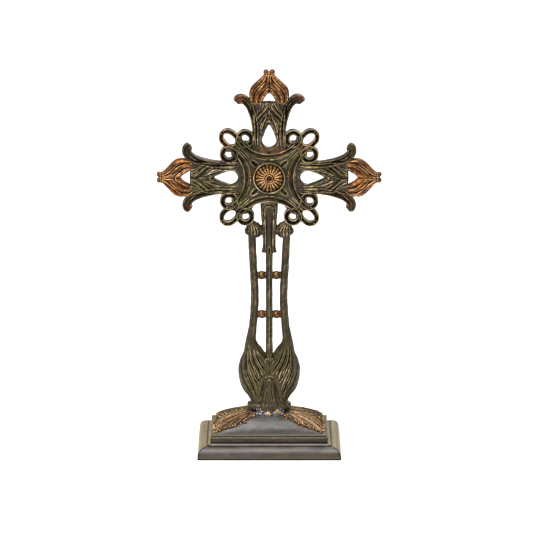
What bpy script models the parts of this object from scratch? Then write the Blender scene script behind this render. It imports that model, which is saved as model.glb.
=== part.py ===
"""Standing ornamental cross of cast resin on a stepped plinth, modelled in metres, +Z up, front towards -Y.

Two cast pieces: the open-work cross with its leafy foot, and the plinth with a leaf-covered dome.
Every free form is a stroke: a closed solid swept along a smooth line, from knots that give
(along, across, half width, half depth). The strokes of one piece overlap and are joined into one solid.
"""
import math

import bmesh
import bpy
from mathutils import Matrix, Vector

MM = 0.001

# Overall size
HEIGHT = 533.4 * MM
TOP_REACH = 149.0 * MM
SIDE_REACH = 152.4 * MM
HEAD_Z = HEIGHT - TOP_REACH
CAST_GAP = 0.3 * MM

# Plinth: moulded foot, step and dome
PLINTH_WIDTH = 197.0 * MM
PLINTH_DEPTH = 127.0 * MM
TOE_HEIGHT = 3.4 * MM
TORUS_HEIGHT = 11.0 * MM
TORUS_INSET = 11.5 * MM
COVE_HEIGHT = 3.6 * MM
COVE_INSET = 6.6 * MM
RISER_HEIGHT = 8.8 * MM
LEDGE_INSET = 5.4 * MM
LEDGE_RISE = 2.2 * MM
DOME_RISE = 22.6 * MM
DOME_END_POWER = 1.8
DOME_SIDE_POWER = 2.2
SEAT_PAD_RISE = 0.8 * MM
SEAT_PAD_STEPS = ((7.0 * MM, 5.0 * MM), (2.2 * MM, 2.4 * MM), (0.0, 0.4 * MM))
DOME_LEAF_RISE = 3.2 * MM
DOME_LEAF_SINK = 8.0 * MM
STEP_Z = TOE_HEIGHT + TORUS_HEIGHT + COVE_HEIGHT + RISER_HEIGHT + LEDGE_RISE
SEAT_Z = STEP_Z + DOME_RISE + SEAT_PAD_RISE
DOME_INSET = TORUS_INSET + COVE_INSET + LEDGE_INSET
DOME_HALF_X = PLINTH_WIDTH / 2 - DOME_INSET
DOME_HALF_Y = PLINTH_DEPTH / 2 - DOME_INSET

# Head: rosette, plate, four cupped scrolls and the loops between them
PLATE_HALF_DEPTH = 4.9 * MM
ROSETTE_RADIUS = 18.6 * MM
ROSETTE_PETALS = 16
ROSETTE_HALF_DEPTH = 9.6 * MM
ROSETTE_RIM_RADIUS = 20.6 * MM
ROSETTE_RIM_HALF_WIDTH = 2.3 * MM
ROSETTE_RIM_HALF_DEPTH = 7.7 * MM
ROSETTE_EYE_RADIUS = 4.8 * MM
CUP_REACH = 29.2 * MM
CUP_HALF_WIDTH = 4.8 * MM
CUP_HALF_DEPTH = 7.2 * MM
EYE_REACH = 54.0 * MM
EYE_OFFSET = 32.6 * MM
VOLUTE_RADIUS = 8.1 * MM
VOLUTE_HALF_WIDTH = 3.4 * MM
VOLUTE_HALF_DEPTH = 6.5 * MM
LOOP_REACH = 76.5 * MM
LOOP_HALF_LENGTH = 12.6 * MM
LOOP_HALF_WIDTH = 9.0 * MM
LOOP_BAND_HALF_WIDTH = 3.7 * MM
LOOP_HALF_DEPTH = 5.9 * MM

# Arms: calyx with curled tips, two pierced holes and a bud
ARM_HALF_WIDTH = 23.6 * MM
ARM_HALF_DEPTH = 5.4 * MM
CURL_HALF_SPAN = 47.6 * MM
CURL_HALF_DEPTH = 8.2 * MM
TONGUE_HALF_DEPTH = 7.4 * MM
BUD_HALF_WIDTH = 27.2 * MM
BUD_HALF_DEPTH = 8.6 * MM
BUD_KNOB_RADIUS = 3.9 * MM
TEAR_HALF_WIDTH = 9.6 * MM
TEAR_ROUND_REACH = 51.5 * MM
TEAR_TIP_REACH = 74.0 * MM
GABLE_HALF_WIDTH = 9.3 * MM
GABLE_BASE_REACH = 104.5 * MM
GABLE_TIP_REACH = 117.5 * MM
HOLE_SHIFT = 0.07 * MM

# Stem: tassel, capitals, three rods and four beads
TASSEL_TOP_REACH = 27.5 * MM
TASSEL_BOTTOM_REACH = 105.0 * MM
TASSEL_HALF_WIDTH = 12.2 * MM
TASSEL_HALF_DEPTH = 8.9 * MM
CAPITAL_REACH = 73.0 * MM
CAPITAL_OFFSET = 21.6 * MM
CAPITAL_HALF_WIDTH = 12.4 * MM
CAPITAL_HALF_HEIGHT = 10.5 * MM
CAPITAL_HALF_DEPTH = 8.3 * MM
WEB_HALF_DEPTH = 4.7 * MM
SIDE_ROD_TOP_X = 23.8 * MM
SIDE_ROD_WAIST_X = 19.7 * MM
SIDE_ROD_RADIUS = 5.7 * MM
MIDDLE_ROD_RADIUS = 5.0 * MM
ROD_OVERLAP = 8.0 * MM
BEAD_RADIUS = 6.3 * MM
BEAD_SHARES = (0.73, 0.275)

# Foot: leafy calyx and the roll it stands on
CALYX_HEIGHT = 104.0 * MM
CALYX_HALF_WIDTH = 43.2 * MM
CALYX_HALF_DEPTH = 14.0 * MM
TRUNK_HALF_WIDTH = 13.5 * MM
COLLAR_HALF_WIDTH = 25.4 * MM
COLLAR_HALF_Y = 12.6 * MM
COLLAR_RADIUS = 5.3 * MM
FOOT_HALF_WIDTH = 23.6 * MM
FOOT_HALF_Y = 12.4 * MM

# Facets
RIDGED = 6
FLAT_FACED = 8
OVAL = 10
ROUND = 8
WELD = 0.004 * MM
CROSS_FACETS = 7600
PLINTH_FACETS = 2000
BEND_SHARE = 0.8

# Colours of the two castings
CROSS_COLOUR = (0.085, 0.066, 0.042, 1.0)
PLINTH_COLOUR = (0.125, 0.105, 0.088, 1.0)


def clear_scene():
    for old in list(bpy.data.objects):
        bpy.data.objects.remove(old)


def make_material(name, colour, roughness, metallic):
    material = bpy.data.materials.new(name)
    material.use_nodes = True
    shader = material.node_tree.nodes["Principled BSDF"]
    shader.inputs["Base Color"].default_value = colour
    shader.inputs["Roughness"].default_value = roughness
    shader.inputs["Metallic"].default_value = metallic
    return material


def as_object(mesh_data, name):
    """Object from a bmesh, with its faces turned out."""
    bmesh.ops.recalc_face_normals(mesh_data, faces=mesh_data.faces)
    mesh = bpy.data.meshes.new(name)
    mesh_data.to_mesh(mesh)
    mesh_data.free()
    made = bpy.data.objects.new(name, mesh)
    bpy.context.scene.collection.objects.link(made)
    return made


def section(corners):
    """Corners of a swept band with its walls at -1 and 1: 6 or 10 of them give a ridge, 8 a flat face."""
    step = math.pi / corners
    reach = math.cos(step)
    return [(math.cos((2 * k + 1) * step) / reach, math.sin((2 * k + 1) * step)) for k in range(corners)]


def smooth(knots, count):
    """Catmull-Rom curve through knots of any dimension, as count + 1 points."""
    points = []
    for k in range(count + 1):
        place = k / count * (len(knots) - 1)
        i = min(int(place), len(knots) - 2)
        t = place - i
        before, start = knots[max(i - 1, 0)], knots[i]
        end, after = knots[i + 1], knots[min(i + 2, len(knots) - 1)]
        points.append(tuple(
            0.5 * (2 * b + (c - a) * t + (2 * a - 5 * b + 4 * c - d) * t**2 + (3 * b - a - 3 * c + d) * t**3)
            for a, b, c, d in zip(before, start, end, after)
        ))
    return points


def sweep(name, rings, closed=False):
    """Closed solid through rings of points, capped at both ends or joined end to end."""
    mesh_data = bmesh.new()
    loops = [[mesh_data.verts.new(point) for point in ring] for ring in rings]
    pairs = list(zip(loops, loops[1:]))
    if closed:
        pairs.append((loops[-1], loops[0]))
    else:
        mesh_data.faces.new(loops[0])
        mesh_data.faces.new(loops[-1])
    for low, high in pairs:
        for k in range(len(low)):
            after = (k + 1) % len(low)
            mesh_data.faces.new((low[k], low[after], high[after], high[k]))
    return as_object(mesh_data, name)


def bend(before, here, after):
    """Radius and side of the bend at a point of a planar line: positive where it turns to the left."""
    first = Vector((here[0] - before[0], here[1] - before[1]))
    second = Vector((after[0] - here[0], after[1] - here[1]))
    area = first.x * second.y - first.y * second.x
    if abs(area) < 1e-12:
        return math.inf
    return first.length * second.length * (first + second).length / (2 * area)


def stroke(name, samples, frame, corners, closed=False):
    """Band in the plane of the cross from samples of (along, across, half width, half depth)."""
    rings = []
    last = len(samples) - 1
    for k, (along, across, half_width, half_depth) in enumerate(samples):
        if closed:
            before, after = samples[k - 1], samples[(k + 1) % len(samples)]
        else:
            before, after = samples[max(k - 1, 0)], samples[min(k + 1, last)]
        radius = bend(before, samples[k], after) if closed or 0 < k < last else math.inf
        tangent = Vector((after[0] - before[0], after[1] - before[1])).normalized()
        ring = []
        for side, depth in section(corners):
            offset = side * half_width
            if offset * radius > 0:
                offset = math.copysign(min(abs(offset), BEND_SHARE * abs(radius)), offset)
            ring.append(frame(along - tangent.y * offset, across + tangent.x * offset, depth * half_depth))
        rings.append(ring)
    return sweep(name, rings, closed)


def head_frame(degrees):
    """Places (along, across, depth) of an arm, turned clockwise from upright and measured from the head."""
    turn = math.radians(degrees)

    def place(along, across, depth):
        x = along * math.sin(turn) + across * math.cos(turn)
        z = along * math.cos(turn) - across * math.sin(turn)
        return Vector((x, depth, z))

    return place


def standing_frame(z, side):
    """Maps (height, sideways, depth) measured up from z, mirrored when side is -1."""
    return lambda along, across, depth: Vector((side * across, depth, z + along))


def ball(name, place, radius, depth_share=1.0, segments=8, rings=6):
    mesh_data = bmesh.new()
    bmesh.ops.create_uvsphere(mesh_data, u_segments=segments, v_segments=rings, radius=radius)
    for vert in mesh_data.verts:
        vert.co.y *= depth_share
        vert.co += place
    return as_object(mesh_data, name)


def prism(name, outline, half_depth):
    """Cutter through the cross from an outline of world points in its middle plane."""
    shift = Vector((0, half_depth, 0))
    return sweep(name, [[point - shift for point in outline], [point + shift for point in outline]])


def combine(name, solids, facets, cutters=()):
    """One solid: overlapping ones joined by one exact Boolean, then holed, then thinned to so many facets."""
    joined = solids[0]
    for tools, operation in ((solids[1:], "UNION"), (list(cutters), "DIFFERENCE")):
        if not tools:
            continue
        group = bpy.data.collections.new(f"{name}_{operation.lower()}")
        for tool in tools:
            group.objects.link(tool)
        step = joined.modifiers.new(operation.lower(), "BOOLEAN")
        step.operation = operation
        step.solver = "EXACT"
        step.operand_type = "COLLECTION"
        step.collection = group
        joined = cleaned(name, joined)
        for tool in tools:
            bpy.data.objects.remove(tool)
        bpy.data.collections.remove(group)
    thin = joined.modifiers.new("thin", "DECIMATE")
    thin.ratio = min(1.0, facets / len(joined.data.polygons))
    return cleaned(name, joined)


def cleaned(name, source):
    """New object from another with its modifiers applied, without slivers and pinholes, in triangles."""
    graph = bpy.context.evaluated_depsgraph_get()
    mesh = bpy.data.meshes.new_from_object(source.evaluated_get(graph))
    bpy.data.objects.remove(source)
    mesh_data = bmesh.new()
    mesh_data.from_mesh(mesh)
    bmesh.ops.remove_doubles(mesh_data, verts=mesh_data.verts, dist=WELD)
    bmesh.ops.dissolve_degenerate(mesh_data, edges=mesh_data.edges, dist=WELD)
    pinholes = [edge for edge in mesh_data.edges if edge.is_boundary]
    bmesh.ops.holes_fill(mesh_data, edges=pinholes, sides=8)
    bmesh.ops.triangulate(mesh_data, faces=mesh_data.faces)
    mesh_data.to_mesh(mesh)
    mesh_data.free()
    mesh.name = name
    made = bpy.data.objects.new(name, mesh)
    bpy.context.scene.collection.objects.link(made)
    return made


def cup_scroll(degrees):
    """C-shaped scroll whose hollow side holds an arm, with a ring volute at each end."""
    frame = head_frame(degrees)
    inner = CUP_REACH + VOLUTE_RADIUS
    centre = (EYE_REACH**2 + EYE_OFFSET**2 - inner**2) / (2 * (EYE_REACH - inner))
    radius = centre - CUP_REACH
    swing = math.atan2(EYE_OFFSET, centre - EYE_REACH)
    arc_steps = 10
    arc = []
    for k in range(arc_steps + 1):
        turn = 2 * k / arc_steps - 1
        angle = swing * turn
        half_width = CUP_HALF_WIDTH + (VOLUTE_HALF_WIDTH - CUP_HALF_WIDTH) * turn * turn
        arc.append((centre - radius * math.cos(angle), radius * math.sin(angle), half_width, CUP_HALF_DEPTH))
    solids = [stroke(f"cup_{degrees}", arc, frame, RIDGED)]
    ring_steps = 12
    for side in (-1, 1):
        ring = []
        for k in range(ring_steps):
            angle = 2 * math.pi * (k + 0.5) / ring_steps
            along = EYE_REACH + VOLUTE_RADIUS * math.cos(angle)
            across = side * EYE_OFFSET + VOLUTE_RADIUS * math.sin(angle)
            ring.append((along, across, VOLUTE_HALF_WIDTH, VOLUTE_HALF_DEPTH))
        solids.append(stroke(f"volute_{degrees}_{side}", ring, frame, RIDGED, closed=True))
        near, far = EYE_REACH - 1.90 * VOLUTE_RADIUS, EYE_REACH - 0.90 * VOLUTE_RADIUS
        fillet = [
            (near, side * 0.66 * EYE_OFFSET, 0.70 * VOLUTE_HALF_WIDTH, PLATE_HALF_DEPTH),
            (far, side * 0.94 * EYE_OFFSET, 0.80 * VOLUTE_HALF_WIDTH, PLATE_HALF_DEPTH),
        ]
        solids.append(stroke(f"fillet_{degrees}_{side}", fillet, frame, RIDGED))
    return solids


def corner_loop(degrees):
    """Two leaf-shaped bands that part at the plate's corner and meet again at the diagonal's tip."""
    frame = head_frame(degrees)
    solids = []
    for side in (-1, 1):
        depth = LOOP_HALF_DEPTH + side * 0.15 * MM
        band = LOOP_BAND_HALF_WIDTH
        samples = smooth([
            (LOOP_REACH - 1.10 * LOOP_HALF_LENGTH, side * 0.20 * LOOP_HALF_WIDTH, band, depth),
            (LOOP_REACH - 0.78 * LOOP_HALF_LENGTH, side * 0.80 * LOOP_HALF_WIDTH, band, depth),
            (LOOP_REACH - 0.20 * LOOP_HALF_LENGTH, side * LOOP_HALF_WIDTH, 0.92 * band, depth),
            (LOOP_REACH + 0.42 * LOOP_HALF_LENGTH, side * 0.90 * LOOP_HALF_WIDTH, band, depth),
            (LOOP_REACH + 0.78 * LOOP_HALF_LENGTH, side * 0.52 * LOOP_HALF_WIDTH, band, depth),
            (LOOP_REACH + 0.90 * LOOP_HALF_LENGTH, side * -0.10 * LOOP_HALF_WIDTH, 0.80 * band, depth),
        ], 8)
        solids.append(stroke(f"loop_{degrees}_{side}", samples, frame, RIDGED))
    return solids


def centre_plate():
    """Four-cornered plate that fills the space between the backs of the cupped scrolls."""
    inner = CUP_REACH + VOLUTE_RADIUS
    centre = (EYE_REACH**2 + EYE_OFFSET**2 - inner**2) / (2 * (EYE_REACH - inner))
    radius = centre - CUP_REACH
    swing = math.atan2(EYE_OFFSET, centre - EYE_REACH)
    outline = []
    steps = 6
    for degrees in (0, 90, 180, 270):
        frame = head_frame(degrees)
        for k in range(steps + 1):
            angle = swing * (2 * k / steps - 1)
            outline.append(frame(centre - radius * math.cos(angle), radius * math.sin(angle), 0))
    return prism("plate", outline, PLATE_HALF_DEPTH)


def rosette():
    """Round flower with pointed petals round a sunk eye, alike on both faces, inside a raised rim."""
    count = 2 * ROSETTE_PETALS
    profile = [(1.0, 0.42), (0.86, 0.80), (0.52, 1.0), (0.30, 0.84)]
    mesh_data = bmesh.new()
    loops = []
    for face in (-1, 1):
        for reach, rise in profile if face < 0 else profile[::-1]:
            loop = []
            for k in range(count):
                angle = 2 * math.pi * k / count
                furrow = 1.0 if k % 2 == 0 else (0.90 if reach == 1.0 else 0.97)
                depth = rise if k % 2 == 0 else rise * 0.80
                out = ROSETTE_RADIUS * reach * furrow
                loop.append(mesh_data.verts.new((
                    out * math.sin(angle), face * ROSETTE_HALF_DEPTH * depth, out * math.cos(angle),
                )))
            loops.append(loop)
    half = len(profile)
    order = loops[:half][::-1] + loops[half:][::-1]
    for low, high in zip(order, order[1:]):
        for k in range(count):
            after = (k + 1) % count
            mesh_data.faces.new((low[k], low[after], high[after], high[k]))
    mesh_data.faces.new(order[0])
    mesh_data.faces.new(order[-1])
    flower = as_object(mesh_data, "rosette")
    rim = []
    steps = 20
    for k in range(steps):
        angle = 2 * math.pi * k / steps
        rim.append((
            ROSETTE_RIM_RADIUS * math.cos(angle), ROSETTE_RIM_RADIUS * math.sin(angle),
            ROSETTE_RIM_HALF_WIDTH, ROSETTE_RIM_HALF_DEPTH,
        ))
    eye = ball("eye", Vector((0, 0, 0)), ROSETTE_EYE_RADIUS, ROSETTE_HALF_DEPTH / ROSETTE_EYE_RADIUS * 0.98)
    return [stroke("rosette_rim", rim, head_frame(0), RIDGED, closed=True), flower, eye]


def arm(degrees, reach):
    """Calyx with two curled outer leaves, a pierced tongue and a two-leaved bud with knobs at its tip."""
    frame = head_frame(degrees)
    length = reach - CUP_REACH

    def at(share):
        return CUP_REACH + share * length

    body = smooth([
        (at(0.02), 0, 0.72 * ARM_HALF_WIDTH, ARM_HALF_DEPTH),
        (at(0.09), 0, 1.08 * ARM_HALF_WIDTH, ARM_HALF_DEPTH),
        (at(0.17), 0, 0.96 * ARM_HALF_WIDTH, ARM_HALF_DEPTH),
        (at(0.34), 0, 0.93 * ARM_HALF_WIDTH, ARM_HALF_DEPTH),
        (at(0.50), 0, 0.99 * ARM_HALF_WIDTH, ARM_HALF_DEPTH),
        (at(0.632), 0, 1.12 * ARM_HALF_WIDTH, ARM_HALF_DEPTH),
    ], 7)
    bud = smooth([
        (at(0.610), 0, 0.78 * BUD_HALF_WIDTH, 0.62 * BUD_HALF_DEPTH),
        (at(0.700), 0, 0.93 * BUD_HALF_WIDTH, 0.74 * BUD_HALF_DEPTH),
        (at(0.755), 0, 0.95 * BUD_HALF_WIDTH, 0.78 * BUD_HALF_DEPTH),
        (at(0.835), 0, 0.70 * BUD_HALF_WIDTH, 0.80 * BUD_HALF_DEPTH),
        (at(0.905), 0, 0.32 * BUD_HALF_WIDTH, 0.74 * BUD_HALF_DEPTH),
        (at(0.955), 0, 0.17 * BUD_HALF_WIDTH, 0.50 * BUD_HALF_DEPTH),
    ], 8)
    solids = [stroke(f"arm_{degrees}", body, frame, FLAT_FACED), stroke(f"bud_{degrees}", bud, frame, RIDGED)]
    for side in (-1, 1):
        shade = side * 0.12 * MM
        curl = smooth([
            (at(0.10), side * 0.78 * ARM_HALF_WIDTH, 0.14 * ARM_HALF_WIDTH, 0.84 * CURL_HALF_DEPTH + shade),
            (at(0.36), side * 0.80 * ARM_HALF_WIDTH, 0.21 * ARM_HALF_WIDTH, 0.93 * CURL_HALF_DEPTH + shade),
            (at(0.52), side * 0.49 * CURL_HALF_SPAN, 0.23 * ARM_HALF_WIDTH, CURL_HALF_DEPTH + shade),
            (at(0.625), side * 0.62 * CURL_HALF_SPAN, 0.23 * ARM_HALF_WIDTH, CURL_HALF_DEPTH + shade),
            (at(0.672), side * 0.77 * CURL_HALF_SPAN, 0.25 * ARM_HALF_WIDTH, CURL_HALF_DEPTH + shade),
            (at(0.650), side * 0.90 * CURL_HALF_SPAN, 0.25 * ARM_HALF_WIDTH, 0.92 * CURL_HALF_DEPTH + shade),
            (at(0.618), side * 0.925 * CURL_HALF_SPAN, 0.13 * ARM_HALF_WIDTH, 0.60 * CURL_HALF_DEPTH + shade),
        ], 11)
        solids.append(stroke(f"curl_{degrees}_{side}", curl, frame, RIDGED))
        half = ARM_HALF_WIDTH
        tongue = smooth([
            (at(0.07), side * 0.20 * half, 0.15 * half, 0.80 * TONGUE_HALF_DEPTH + shade),
            (at(0.18), side * 0.54 * half, 0.15 * half, 0.92 * TONGUE_HALF_DEPTH + shade),
            (at(0.34), side * 0.38 * half, 0.17 * half, TONGUE_HALF_DEPTH + shade),
            (at(0.50), side * 0.22 * half, 0.22 * half, TONGUE_HALF_DEPTH + shade),
            (at(0.620), side * 0.30 * half, 0.30 * half, 0.86 * TONGUE_HALF_DEPTH + shade),
        ], 6)
        solids.append(stroke(f"tongue_{degrees}_{side}", tongue, frame, RIDGED))
        petal = smooth([
            (at(0.640), side * 0.80 * BUD_HALF_WIDTH, 0.13 * BUD_HALF_WIDTH, 0.90 * BUD_HALF_DEPTH + shade),
            (at(0.730), side * 0.86 * BUD_HALF_WIDTH, 0.13 * BUD_HALF_WIDTH, BUD_HALF_DEPTH + shade),
            (at(0.800), side * 0.74 * BUD_HALF_WIDTH, 0.14 * BUD_HALF_WIDTH, BUD_HALF_DEPTH + shade),
            (at(0.875), side * 0.39 * BUD_HALF_WIDTH, 0.13 * BUD_HALF_WIDTH, 0.90 * BUD_HALF_DEPTH + shade),
            (at(0.960), side * 0.13 * BUD_HALF_WIDTH, 0.10 * BUD_HALF_WIDTH, 0.60 * BUD_HALF_DEPTH + shade),
        ], 7)
        solids.append(stroke(f"petal_{degrees}_{side}", petal, frame, RIDGED))
        knob = frame(reach - BUD_KNOB_RADIUS, side * 1.04 * BUD_KNOB_RADIUS, 0)
        solids.append(ball(f"knob_{degrees}_{side}", knob, BUD_KNOB_RADIUS, 1.15, 8, 4))
    return solids


def arm_holes(degrees):
    """Cutters for the teardrop at an arm's root and the gable-shaped hole under its bud.

    Their tips stand a hair beside the middle ridge of the arm: that cuts more cleanly than an edge on an edge.
    """
    frame = head_frame(degrees)
    through = 2 * max(CURL_HALF_DEPTH, BUD_HALF_DEPTH)
    spread = TEAR_TIP_REACH - TEAR_ROUND_REACH
    lean = math.acos(TEAR_HALF_WIDTH / spread)
    tear = [frame(TEAR_TIP_REACH, HOLE_SHIFT, 0)]
    steps = 12
    for k in range(steps + 1):
        angle = lean + (2 * math.pi - 2 * lean) * k / steps
        tear.append(frame(
            TEAR_ROUND_REACH + TEAR_HALF_WIDTH * math.cos(angle), TEAR_HALF_WIDTH * math.sin(angle), 0,
        ))
    gable_rise = GABLE_TIP_REACH - GABLE_BASE_REACH
    gable = [
        frame(GABLE_BASE_REACH, -GABLE_HALF_WIDTH, 0),
        frame(GABLE_BASE_REACH + 0.18 * gable_rise, HOLE_SHIFT, 0),
        frame(GABLE_BASE_REACH, GABLE_HALF_WIDTH, 0),
        frame(GABLE_BASE_REACH + 0.58 * gable_rise, 0.52 * GABLE_HALF_WIDTH, 0),
        frame(GABLE_TIP_REACH, HOLE_SHIFT, 0),
        frame(GABLE_BASE_REACH + 0.58 * gable_rise, -0.52 * GABLE_HALF_WIDTH, 0),
    ]
    return [prism(f"tear_{degrees}", tear, through), prism(f"gable_{degrees}", gable, through)]


def tassel():
    """Fluted drop that hangs from the lower scroll, split into two lips at its hem."""
    frame = head_frame(180)
    length = TASSEL_BOTTOM_REACH - TASSEL_TOP_REACH

    def at(share):
        return TASSEL_TOP_REACH + share * length

    skirt = smooth([
        (at(0.00), 0, 0.84 * TASSEL_HALF_WIDTH, 0.62 * TASSEL_HALF_DEPTH),
        (at(0.13), 0, TASSEL_HALF_WIDTH, 0.92 * TASSEL_HALF_DEPTH),
        (at(0.32), 0, 0.92 * TASSEL_HALF_WIDTH, 0.84 * TASSEL_HALF_DEPTH),
        (at(0.52), 0, 0.76 * TASSEL_HALF_WIDTH, 0.80 * TASSEL_HALF_DEPTH),
        (at(0.90), 0, 0.72 * TASSEL_HALF_WIDTH, 0.82 * TASSEL_HALF_DEPTH),
        (at(1.00), 0, 0.87 * TASSEL_HALF_WIDTH, 0.82 * TASSEL_HALF_DEPTH),
    ], 8)
    spine = smooth([
        (at(0.12), 0, 0.30 * TASSEL_HALF_WIDTH, 0.80 * TASSEL_HALF_DEPTH),
        (at(0.35), 0, 0.42 * TASSEL_HALF_WIDTH, 1.12 * TASSEL_HALF_DEPTH),
        (at(0.70), 0, 0.28 * TASSEL_HALF_WIDTH, 1.00 * TASSEL_HALF_DEPTH),
        (at(0.97), 0, 0.34 * TASSEL_HALF_WIDTH, 0.96 * TASSEL_HALF_DEPTH),
    ], 5)
    return [stroke("tassel", skirt, frame, FLAT_FACED), stroke("tassel_spine", spine, frame, RIDGED)]


def side_rod(side, calyx_top):
    """Outer rod from its capital under the head, in at the waist and out again into the calyx."""
    rod_top = -CAPITAL_REACH - 0.4 * CAPITAL_HALF_HEIGHT
    rise = rod_top - calyx_top
    frame = standing_frame(calyx_top, side)
    knots = [
        (-0.16 * rise, 1.30 * SIDE_ROD_WAIST_X, 1.25 * SIDE_ROD_RADIUS, 1.15 * SIDE_ROD_RADIUS),
        (0.02 * rise, 1.20 * SIDE_ROD_WAIST_X, 1.05 * SIDE_ROD_RADIUS, SIDE_ROD_RADIUS),
        (0.25 * rise, 1.05 * SIDE_ROD_WAIST_X, SIDE_ROD_RADIUS, SIDE_ROD_RADIUS),
        (0.45 * rise, SIDE_ROD_WAIST_X, SIDE_ROD_RADIUS, SIDE_ROD_RADIUS),
        (0.72 * rise, 0.5 * (SIDE_ROD_WAIST_X + SIDE_ROD_TOP_X), 0.96 * SIDE_ROD_RADIUS, SIDE_ROD_RADIUS),
        (1.00 * rise, SIDE_ROD_TOP_X, 0.94 * SIDE_ROD_RADIUS, SIDE_ROD_RADIUS),
    ]
    return stroke(f"side_rod_{side}", smooth(knots, 11), frame, ROUND)


def stem(calyx_top):
    """Middle rod, the two outer rods with their capitals and webs, and two rows of beads between them."""
    rod_top = -TASSEL_BOTTOM_REACH + ROD_OVERLAP
    rod_foot = calyx_top - 0.30 * CALYX_HEIGHT
    middle = [
        (0, 0, MIDDLE_ROD_RADIUS, MIDDLE_ROD_RADIUS * 1.02),
        (0.5 * (rod_top - rod_foot), 0, MIDDLE_ROD_RADIUS * 0.97, MIDDLE_ROD_RADIUS * 0.99),
        (rod_top - rod_foot, 0, MIDDLE_ROD_RADIUS, MIDDLE_ROD_RADIUS * 1.02),
    ]
    solids = [stroke("middle_rod", middle, standing_frame(rod_foot, 1), FLAT_FACED)]
    capital_z = -CAPITAL_REACH
    high = CAPITAL_HALF_HEIGHT
    open_rise = -TASSEL_BOTTOM_REACH - calyx_top
    for side in (-1, 1):
        solids.append(side_rod(side, calyx_top))
        capital = smooth([
            (-high, 1.02 * CAPITAL_OFFSET, 0.56 * CAPITAL_HALF_WIDTH, 0.80 * CAPITAL_HALF_DEPTH),
            (-0.70 * high, CAPITAL_OFFSET, 0.92 * CAPITAL_HALF_WIDTH, CAPITAL_HALF_DEPTH),
            (0.10 * high, CAPITAL_OFFSET, CAPITAL_HALF_WIDTH, CAPITAL_HALF_DEPTH),
            (0.80 * high, 1.12 * CAPITAL_OFFSET, 0.62 * CAPITAL_HALF_WIDTH, 0.62 * CAPITAL_HALF_DEPTH),
        ], 6)
        solids.append(stroke(f"capital_{side}", capital, standing_frame(capital_z, side), OVAL))
        web = [
            (-0.10 * high, 0.30 * TASSEL_HALF_WIDTH, 0.62 * high, WEB_HALF_DEPTH),
            (0.00, CAPITAL_OFFSET, 0.75 * high, WEB_HALF_DEPTH),
        ]
        solids.append(stroke(f"web_{side}", web, standing_frame(capital_z, side), RIDGED))
        for share in BEAD_SHARES:
            place = Vector((
                side * 0.5 * (SIDE_ROD_WAIST_X + 0.6 * MM), 0, calyx_top + share * open_rise,
            ))
            solids.append(ball(f"bead_{side}_{share}", place, BEAD_RADIUS))
    return solids


def calyx(foot_z):
    """Two broad folded leaves that swell from the foot and thin out into the rods, with veins and a trunk."""
    solids = []
    half = CALYX_HALF_WIDTH

    def at(share):
        return share * CALYX_HEIGHT

    for side in (-1, 1):
        shade = side * 0.15 * MM
        frame = standing_frame(foot_z, side)
        leaf = smooth([
            (at(0.02), 0.34 * half, 0.24 * half, 0.80 * CALYX_HALF_DEPTH + shade),
            (at(0.16), 0.35 * half, 0.27 * half, 0.84 * CALYX_HALF_DEPTH + shade),
            (at(0.34), 0.46 * half, 0.43 * half, 0.96 * CALYX_HALF_DEPTH + shade),
            (at(0.50), 0.48 * half, 0.51 * half, CALYX_HALF_DEPTH + shade),
            (at(0.64), 0.48 * half, 0.50 * half, 0.92 * CALYX_HALF_DEPTH + shade),
            (at(0.80), 0.50 * half, 0.35 * half, 0.72 * CALYX_HALF_DEPTH + shade),
            (at(0.94), 0.58 * half, 0.17 * half, 0.50 * CALYX_HALF_DEPTH + shade),
            (at(1.06), 0.57 * half, 0.13 * half, 0.42 * CALYX_HALF_DEPTH + shade),
        ], 11)
        solids.append(stroke(f"calyx_leaf_{side}", leaf, frame, OVAL))
        veins = (
            ((0.08, 0.46), (0.30, 0.72), (0.52, 0.83), (0.76, 0.70), (0.98, 0.58)),
            ((0.34, 0.30), (0.50, 0.56), (0.68, 0.64), (0.90, 0.57)),
            ((0.42, 0.10), (0.56, 0.30), (0.72, 0.46), (0.88, 0.52)),
        )
        for number, line in enumerate(veins):
            knots = []
            for rise, across in line:
                bulge = math.sin(math.pi * min(rise / 0.95, 1.0)) ** 0.5
                taper = 1.0 - 0.35 * across * across
                depth = (0.55 + 0.50 * bulge * taper) * CALYX_HALF_DEPTH + shade
                knots.append((at(rise), across * half, 1.9 * MM, depth))
            vein = smooth(knots, 5)
            solids.append(stroke(f"vein_{side}_{number}", vein, frame, RIDGED))
    trunk = smooth([
        (at(0.01), 0, TRUNK_HALF_WIDTH, 0.94 * CALYX_HALF_DEPTH),
        (at(0.14), 0, 0.74 * TRUNK_HALF_WIDTH, 1.02 * CALYX_HALF_DEPTH),
        (at(0.30), 0, 0.55 * TRUNK_HALF_WIDTH, 1.10 * CALYX_HALF_DEPTH),
        (at(0.44), 0, 0.46 * TRUNK_HALF_WIDTH, 1.02 * CALYX_HALF_DEPTH),
    ], 5)
    solids.append(stroke("trunk", trunk, standing_frame(foot_z, 1), FLAT_FACED))
    return solids


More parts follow.
